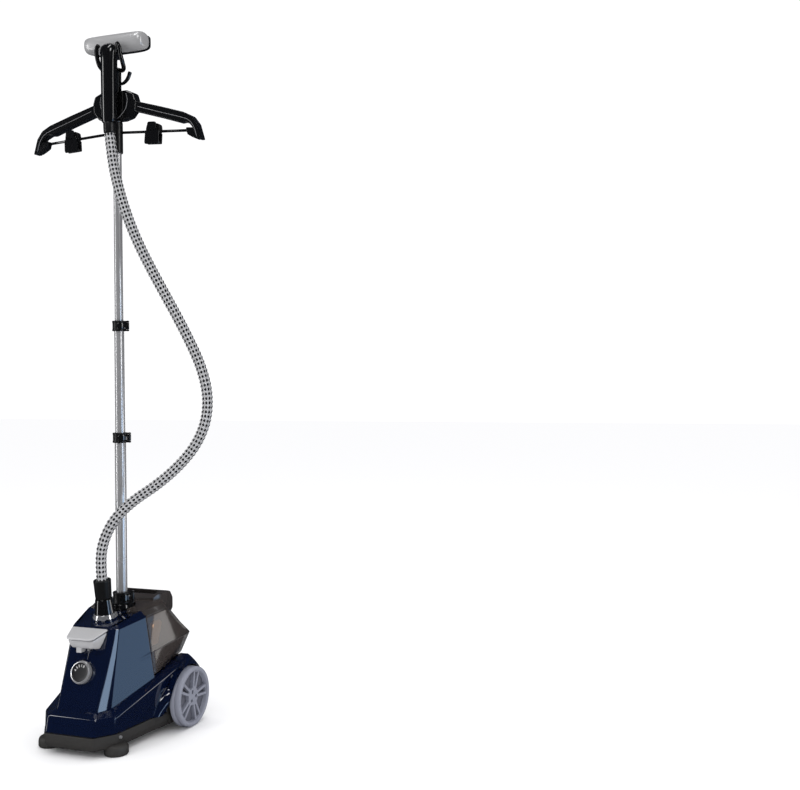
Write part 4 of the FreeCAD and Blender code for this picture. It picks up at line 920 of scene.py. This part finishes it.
# ------------------------------------------------------------------ wheels
for s, side in ((1, "right"), (-1, "left")):
    org = (0, 96, 67)
    rim_p = [(55, 128), (56.5, 124.6), (60, 124), (65, 124.2), (66.6, 125.4), (67, 127.5), (67, 135.8), (66.5, 136.2), (66.5, 137), (67, 137.4), (66.6, 146.8), (65.4, 149.0), (63, 150), (59.5, 150), (57.6, 149.2), (56.8, 147.4), (56.2, 141), (55, 139)]
    a_ = lathe([(r, x * s) for r, x in rim_p], org, (1, 0, 0), "rim", WHEEL, n=120, smooth=28)
    # the recessed disc takes the darker copy of the wheel grey: painted shade in the recess
    b_ = lathe([(r, x * s) for r, x in [(4.3, 125), (14, 125), (20, 134), (57, 131), (57, 138.2), (19, 138.2)]], org, (1, 0, 0), "disc", WHEEL_DISH_SHADE, n=96)
    hub = lathe([(r, x * s) for r, x in [(0, 136), (21, 136), (20.2, 145.6), (19.2, 146.6), (0, 146.9)]], org, (1, 0, 0), "hub", WHEEL, n=72)
    cutters = []
    for k in range(3):
        a = math.radians(90 + 120 * k + 20)
        c = V((96 + 11.2 * math.cos(a), 67 + 11.2 * math.sin(a)))
        dia = [(c.x + 5.2 * math.cos(a + q), c.y + 5.2 * math.sin(a + q)) for q in (0, math.pi / 2, math.pi, 1.5 * math.pi)]
        cutters.append(prism(rounded(dia, 0.8, 3), "X", min(s * 140.5, s * 150), max(s * 140.5, s * 150), "dia", WHEEL))
    me = carve(hub, cutters)
    hub = bevelled("hub_b", me, WHEEL, None, (), 0.5, 2, 40)
    parts_ = [a_, b_, hub]
    for k in range(5):
        base_a = math.radians(72 * k + 74)
        slot_ = []
        for sgn in (1, -1):
            # a tapering ridge from the hub to the rim; the pair leaves a wedge-shaped slot
            p0 = (16.5, sgn * 4.0)
            p1 = (57.5, sgn * 9.6)
            wd = 2.9
            dx, dy = p1[0] - p0[0], p1[1] - p0[1]
            ln = math.hypot(dx, dy)
            nx, ny = -dy / ln * wd, dx / ln * wd
            quad = [(p0[0] - nx, p0[1] - ny), (p1[0] - nx, p1[1] - ny), (p1[0] + nx, p1[1] + ny), (p0[0] + nx, p0[1] + ny)]
            quad = [(96 + x * math.cos(base_a) - y * math.sin(base_a), 67 + x * math.sin(base_a) + y * math.cos(base_a)) for x, y in quad]
            parts_.append(prism(quad, "X", min(s * 136, s * 146.6), max(s * 136, s * 146.6), "ridge", WHEEL, bevel=0.9, seg=3, angle=30))
            slot_ += [(p0[0] + 5, sgn * 2.0)] if sgn > 0 else []
        # thin dark plate inside the slot between each ridge pair: painted shade where the slot falls into shadow
        wedge = [(21, -3.0), (55, -7.6), (55, 7.6), (21, 3.0)]
        wedge = [(96 + x * math.cos(base_a) - y * math.sin(base_a), 67 + x * math.sin(base_a) + y * math.cos(base_a)) for x, y in wedge]
        parts_.append(prism(rounded(wedge, 1.5, 3), "X", min(s * 137, s * 138.35), max(s * 137, s * 138.35), "wedge", WHEEL_SLOT_SHADE))
        # cross bars that close the slot at both ends
        for x0, x1, hw_ in ((18.5, 22.5, 3.4), (53.8, 57.5, 9)):
            bar_ = [(x0, -hw_), (x1, -hw_), (x1, hw_), (x0, hw_)]
            bar_ = [(96 + x * math.cos(base_a) - y * math.sin(base_a), 67 + x * math.sin(base_a) + y * math.cos(base_a)) for x, y in bar_]
            parts_.append(prism(bar_, "X", min(s * 136, s * 145.9), max(s * 136, s * 145.9), "bar", WHEEL, bevel=0.7, seg=2, angle=30))
    link("wheel_rim_" + side, join(parts_, "wheel_rim_" + side), None, "wheel_" + side, "wheel_" + side, 40)

# ------------------------------------------------------------------ hanger
def bar_z(x):
    return 1356 - (x - 12) * 10 / 180.0


arm_r = [(40, 1432), (57, 1422), (120, 1404.5), (178, 1387), (200, 1376), (214, 1358), (224.4, 1323), (215, 1323.5), (206, 1345), (196, 1358), (180, 1365), (170, 1364), (120, 1380), (56, 1399), (40, 1402)]
for s, side in ((1, "r"), (-1, "l")):
    q = [(s * x, z) for x, z in rounded(arm_r, [0, 2, 3, 8, 14, 12, 2, 2, 8, 8, 6, 4, 3, 2, 0], 5)]
    prism(q, "Y", 23.2, 42.8, "hanger_arm_" + side, BLACK, "pole_upper", "hanger" if s > 0 else (), bevel=2.6, seg=4, angle=30)
    # pale edge line along the front of the arm, and the block that takes the trouser bar
    line = smooth_path([(s * 62, 23.0, 1409), (s * 120, 23.0, 1391), (s * 172, 23.0, 1375.5), (s * 194, 23.0, 1366), (s * 206, 23.0, 1351), (s * 213, 23.0, 1330)], 6)
    sweep(line, 0.55, "hanger_line_" + side, LINE, "pole_upper", n=8, round_ends=False)
    blk = [(s * x, z) for x, z in rounded([(184, 1352), (206, 1350), (214, 1334), (213, 1323), (200, 1329), (188, 1336)], [3, 5, 5, 3, 3, 3], 4)]
    prism(blk, "Y", 25, 41, "hanger_block_" + side, BLACK, "pole_upper", bevel=1.8, seg=3, angle=30)
shield = rounded([(-33, 1449), (33, 1449), (52, 1441), (57.5, 1424), (55, 1402), (42, 1387), (22, 1382), (-22, 1382), (-42, 1387), (-55, 1402), (-57.5, 1424), (-52, 1441)], 9, 5)
prism(shield, "Y", 21.2, 44.8, "hanger_hub", BLACK, "pole_upper", bevel=4, seg=5, angle=30)
for s, side in ((1, "r"), (-1, "l")):
    sweep(smooth_path([(s * 33, 20.9, 1441), (s * 36, 20.9, 1425), (s * 31, 20.9, 1406), (s * 17, 20.9, 1391), (s * 10, 20.9, 1387)], 6), 0.6, "hub_line_" + side, LINE, "pole_upper", n=8, round_ends=False)
lathe(arc_profile([(9.6, 1309.5), (12.4, 1309.5), (13, 1312), (13, 1378), (12, 1381), (9.6, 1381)], 0.8), (0, PY, 0), (0, 0, 1), "sleeve_tube", SATIN, "pole_upper", "hanger_sleeve")
for s, side in ((1, "right"), (-1, "left")):
    sweep([(s * 12, PY, bar_z(12)), (s * 60, PY, bar_z(60)), (s * 120, PY, bar_z(120)), (s * 192, PY, bar_z(192))], 3.1, "bar_rod_" + side, BLACK, "pole_upper", "trouser_bar_" + side, n=24)

for side, s, xc in (("right", 1, 98.0), ("left", -1, 120.0)):
    ang = -math.atan(-10 / 180.0) * s
    zc_ = 1356 + (xc - 12) * (-10 / 180.0)
    mt = Matrix.Translation(V((s * xc, PY, zc_))) @ Matrix.Rotation(ang, 4, "Y")

    def pl(q, mt=mt):
        return tuple(mt @ V(q))
    body_o = rounded([(-17, -6), (17, -6), (18.6, 6), (17, 14), (9, 18.2), (4, 14.5), (-4, 14.5), (-9, 18.2), (-17, 14), (-18.6, 6)], [2, 2, 3, 4, 3, 3, 3, 3, 4, 3], 5)
    a_ = prism(body_o, "Y", -5.4, 6, "cb", SATIN, bevel=1.2, seg=3, angle=30, place=pl)
    back = rounded([(-18.5, -28), (18.5, -28), (18.8, -4), (-18.8, -4)], 2.5, 4)
    b_ = prism(back, "Y", 2.6, 6.2, "cbk", SATIN, bevel=0.9, seg=2, angle=30, place=pl)
    link("clip_body_" + side, join([a_, b_], "clip_body_" + side), None, "clip_" + side, "clip_" + side, 40)
    jaw = rounded([(-17.5, -29), (17.5, -29), (19, -24), (18, 0), (12.5, 5), (-12.5, 5), (-18, 0), (-19, -24)], [3, 3, 3, 5, 4, 4, 5, 3], 5)
    c_ = prism(jaw, "Y", -10, -5.8, "cj", BLACK, bevel=1.5, seg=3, angle=30, place=pl)
    tab = rounded([(-12.4, 2), (12.4, 2), (10.5, 20.2), (-10.5, 20.2)], [1, 1, 5, 5], 5)
    d_ = prism(tab, "Y", -12.6, -8.9, "ct", BLACK, bevel=1.5, seg=3, angle=30, place=pl)
    e_ = prism(rounded([(-16, -27.5), (16, -27.5), (16, -22.5), (-16, -22.5)], 1, 3), "Y", -6, 2.4, "cr", RUBBER, bevel=0.5, seg=2, angle=30, place=pl)
    link("clip_front_" + side, join([c_, d_, e_], "clip_front_" + side), None, "jaw_" + side, "clip_jaw_" + side, 40)

# serrated post, hook and cradle
prof = [(9.6, 1449)]
z = 1449.5
while z < 1496:
    prof += [(10.1, z), (10.9, z + 0.9), (10.1, z + 1.8)]
    z += 1.8
prof += [(10.6, 1498), (10.6, 1503), (8.5, 1504), (0, 1504)]
lathe(prof, (0, PY, 0), (0, 0, 1), "post_serrated", BLACK, "pole_upper", "head_post", 48, 40)
sweep(smooth_path([(8, PY, 1467), (18, PY, 1468), (27, PY, 1474), (32.5, PY, 1482), (36, PY, 1491)], 8), lambda d, a: 3.1 + 1.3 * min(1, d / 26.0), "hook_arm", BLACK, "pole_upper", "garment_hook", n=20)
for s, side in ((1, "r"), (-1, "l")):
    sweep(smooth_path([(s * 4, 33, 1500), (s * 17, 30, 1496.5), (s * 27, 22, 1499), (s * 31, 12, 1508), (s * 31, 4, 1524), (s * 30, 0.5, 1541), (s * 25, 0.5, 1549.5)], 8), 4.9, "cradle_" + side, BLACK, "pole_upper", "head_cradle" if s > 0 else (), n=24)

# ------------------------------------------------------------------ steam head
def superell(cx, cy, z, a, b, e=2.8, n=40):
    out = []
    for i in range(n):
        t = 2 * math.pi * i / n
        c, s_ = math.cos(t), math.sin(t)
        out.append((cx + a * math.copysign(abs(c) ** (2 / e), c), cy + b * math.copysign(abs(s_) ** (2 / e), s_), z))
    return out


hr = []
for z, a, b, cy in ((1372.8, 14, 12.5, 4.5), (1375, 16.2, 13.2, 4.5), (1384, 17.2, 13.6, 4.5), (1420, 17.8, 13.8, 4.5), (1470, 18, 14, 4.5), (1510, 18.4, 14, 4.6), (1530, 19.4, 14.2, 5), (1538, 20, 14.6, 6.2), (1545, 19, 14.8, 8), (1551, 14, 12, 11)):
    hr.append(superell(0, cy, z, a, b))
loft(hr, "head_grip", BLACK, "steam_head", "head_handle", smooth=60)
prism(rounded([(-13, 12), (13, 12), (12, 40), (-12, 40)], 4, 4), "Z", 1524, 1545, "head_neck", BLACK, "steam_head", bevel=1.5, seg=3)
lathe(arc_profile([(8.2, 1350.5), (12.4, 1350.2), (13.2, 1351.4), (13.8, 1362), (14, 1372), (13, 1373.2), (8.2, 1373.2)], 0.6), (0, 4.5, 0), (0, 0, 1), "head_cuff_sleeve", SATIN, "steam_head", "head_cuff")


def xring(x, cy, cz, b, h, e=2.5, n=40):
    return [(x, y, z) for y, z, _ in [(p_[0], p_[1], 0) for p_ in superell(cy, cz, 0, b, h, e, n)]]


nz = []
for x, b, h in ((-78, 9, 9), (-76.6, 14.5, 13.5), (-73.5, 18.5, 16.8), (-68, 20.8, 18.6), (-58, 21.6, 19.4), (-30, 22, 19.9), (0, 22, 20), (30, 22, 20), (58, 21.8, 19.8), (68, 21.2, 19.2), (73.5, 19.4, 17.8), (76.6, 16, 14.8), (78, 10.5, 10)):
    nz.append([(xx, min(y, 54.6), zz) for xx, y, zz in xring(x, 33, 1560, b + 0.0, h)])
loft(nz, "head_nozzle", HEADS, "steam_head", "head_shell", smooth=50)
plate = [(x, z) for x, z, _ in [(p_[0], p_[1], 0) for p_ in superell(0, 1560, 0, 77.5, 19.6, 5, 72)]]
prism(plate, "Y", 48, 55.8, "head_rim", BLACK, "steam_head", bevel=1.2, seg=3, angle=40)
plate2 = [(x, z) for x, z, _ in [(p_[0], p_[1], 0) for p_ in superell(0, 1560, 0, 73, 16.8, 5, 72)]]
pp = prism(plate2, "Y", 55.5, 59.6, "pp", STEEL)
holes = []
for k in range(9):
    for dz in (-6.5, 6.5):
        x = (k - 4) * 15
        holes.append(lathe([(0, 50), (1.8, 50), (1.8, 64), (0, 64)], (x, 0, 1560 + dz), (0, 1, 0), "h", STEEL, n=16))
me = carve(pp, holes)
bevelled("head_face", me, STEEL, "steam_head", "head_plate", 0.6, 2, 40)

# ------------------------------------------------------------------ hose
ROUTE = [(0, -41.0, 351.5), (0, -46.8, 398.1), (9, -44, 444), (28, -31, 487), (62, -12, 524), (107, 10, 556), (152, 31, 597), (188, 50, 645), (209, 61, 701), (211, 64, 762),
         (196, 61, 822), (171, 54, 880), (143, 46, 937), (114, 36, 994), (85.5, 26, 1051), (59, 18, 1108), (37, 12, 1166), (19, 8, 1226), (6, 5.6, 1287), (0, 4.5, 1348.6)]
M1 = (198.5, 55.5, 673.0)
M2 = (28.0, 10.0, 1196.0)
HOSES = [("hose_lower", ROUTE[:8] + [M1], "base", "pole_middle"), ("hose_middle", [M1] + ROUTE[8:17] + [M2], "pole_middle", "pole_upper"), ("hose_upper", [M2] + ROUTE[17:], "pole_upper", "steam_head")]
start = 0.0
for name, pts, ba, bb in HOSES:
    cu = bpy.data.curves.new(name + "_line", "CURVE")
    cu.dimensions = "3D"
    sp = cu.splines.new("NURBS")
    sp.points.add(len(pts) - 1)
    for q, c in zip(sp.points, pts):
        q.co = (c[0] / 1000, c[1] / 1000, c[2] / 1000, 1)
    sp.order_u = 3
    sp.use_endpoint_u = True
    cu.resolution_u = 24
    co_ = bpy.data.objects.new(name + "_line", cu)
    bpy.context.scene.collection.objects.link(co_)
    dg = bpy.context.evaluated_depsgraph_get()
    line_me = bpy.data.meshes.new_from_object(co_.evaluated_get(dg))
    line = [V(v.co) * 1000 for v in line_me.vertices]
    bpy.data.objects.remove(co_)
    bpy.data.meshes.remove(line_me)
    # even steps along the line
    acc = [0.0]
    for a, b in zip(line, line[1:]):
        acc.append(acc[-1] + (b - a).length)
    total = acc[-1]
    steps = int(total / 1.25)
    even, j = [], 0
    for k in range(steps + 1):
        d = total * k / steps
        while j < len(acc) - 2 and acc[j + 1] < d:
            j += 1
        f = (d - acc[j]) / max(1e-9, acc[j + 1] - acc[j])
        even.append(line[j].lerp(line[j + 1], f))
    pitch = 10.0

    def rad(d, a, start=start):
        w = math.cos(2 * math.pi * (d + start) / pitch - a)
        return 11.65 + 0.8 * w
    o = sweep(even, rad, name + "_braid", BRAID, None, (), n=28, round_ends=False, uv="along", up=(0, -1, 0.05) if name == "hose_lower" else LAST["ref"], off=start)
    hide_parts(name)
    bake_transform(o)
    print(name, "length", round(total, 1))
    start += total

# ------------------------------------------------------------------ the CAD pieces that stay: finishes
KEEP = {"cord_gland": RUBBER, "housing_screws": STEEL, "wheel_axle": STEEL, "axle_clips": STEEL, "pedal_pin": STEEL, "power_switch": SATIN, "selector_switch": SATIN,
        "boiler": CAST, "steam_pipe": CLEAR, "feed_tube": CLEAR, "tank_seat": CHAR, "tank_cap": SATIN, "tank_valve": STEEL}
for k, m in KEEP.items():
    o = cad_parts[k]
    for sl in o.material_slots:
        sl.material = m
    if not o.material_slots:
        o.data.materials.append(m)

# ------------------------------------------------------------------ floor, light and camera
me = bpy.data.meshes.new("floor")
me.from_pydata([(-14, -14, 0), (14, -14, 0), (14, 14, 0), (-14, 14, 0)], [], [(0, 1, 2, 3)])
floor = bpy.data.objects.new("floor", me)
bpy.context.scene.collection.objects.link(floor)
me.materials.append(material("floor_pale", (0.92, 0.92, 0.925), 0.9, grain=40, bump=0.0, vary=0.03, tint=0.004, spec=0.0))
floor.visible_glossy = False

world = bpy.data.worlds.new("studio")
bpy.context.scene.world = world
world.use_nodes = True
wt = world.node_tree
bg = wt.nodes["Background"]
bg.inputs["Color"].default_value = (0.97, 0.975, 0.99, 1)
bg.inputs["Strength"].default_value = 1.0
lp = wt.nodes.new("ShaderNodeLightPath")
mx = wt.nodes.new("ShaderNodeMix")
mx.data_type = "RGBA"
mx.inputs["A"].default_value = (1.06, 1.06, 1.07, 1)
mx.inputs["B"].default_value = (0.018, 0.021, 0.029, 1)
wt.links.new(lp.outputs["Is Glossy Ray"], mx.inputs["Factor"])
wt.links.new(mx.outputs["Result"], bg.inputs["Color"])


def area(name, pos, look, size, power, colour=(1, 1, 1), gloss_only=False):
    l = bpy.data.lights.new(name, "AREA")
    l.shape = "RECTANGLE"
    l.size, l.size_y = size
    l.energy = power
    l.color = colour
    o = bpy.data.objects.new(name, l)
    bpy.context.scene.collection.objects.link(o)
    o.location = pos
    d = V(look) - V(pos)
    o.rotation_euler = d.to_track_quat("-Z", "Y").to_euler()
    o.visible_camera = False
    if gloss_only:
        o.visible_diffuse = False
    else:
        o.visible_glossy = False
    return o


area("panel_flank", (2.62, 0.72, 0.15), (0.08, 0.0, 0.15), (0.72, 1.1), 2.7, (0.42, 0.66, 1.0), True)
area("panel_tank", (2.33, 1.41, 0.235), (0.1, 0.07, 0.2), (0.72, 0.73), 4.2, (1.0, 0.97, 0.95), True)
area("panel_corner", (2.5, -0.42, 0.2), (0.06, -0.1, 0.2), (0.6, 1.3), 7.5, (0.52, 0.72, 1.0), True)
area("panel_high", (2.4, -0.45, 1.7), (0, 0, 1.35), (0.35, 1.5), 9, (1, 1, 1), True)
area("panel_left", (-1.9, -1.5, 1.0), (0, 0, 0.9), (0.35, 2.6), 12, (1, 1, 1), True)
area("panel_head", (0.5, -2.4, 2.9), (0, 0, 1.55), (0.9, 0.5), 8, (1, 1, 1), True)
area("panel_above", (-0.5, -0.9, 3.3), (0, 0, 0.6), (0.3, 1.4), 9, (1, 1, 1), True)
area("key", (-1.6, -2.4, 2.8), (0, 0, 0.6), (1.0, 1.0), 22)
area("top", (0.2, 0.5, 3.4), (0, 0, 0.6), (1.8, 1.8), 22)

cam = bpy.data.cameras.new("camera")
co = bpy.data.objects.new("camera", cam)
bpy.context.scene.collection.objects.link(co)
bpy.context.scene.camera = co
cam.sensor_width = 36.0
yaw = 20.03
F = 1059.0
cam.lens = F * 36.0 / 800.0
cam.shift_y = -0.0296
cam.clip_start, cam.clip_end = 0.1, 60
a = math.radians(yaw)
co.location = (1.4286, -2.018, 0.806)
d = V((-math.sin(a), math.cos(a), 0))
q = d.to_track_quat("-Z", "Y")
co.rotation_mode = "QUATERNION"
co.rotation_quaternion = q @ Matrix.Rotation(math.radians(-0.6), 3, "Z").to_quaternion()
bpy.context.scene.view_settings.view_transform = "Standard"
bpy.context.scene.view_settings.look = "None"
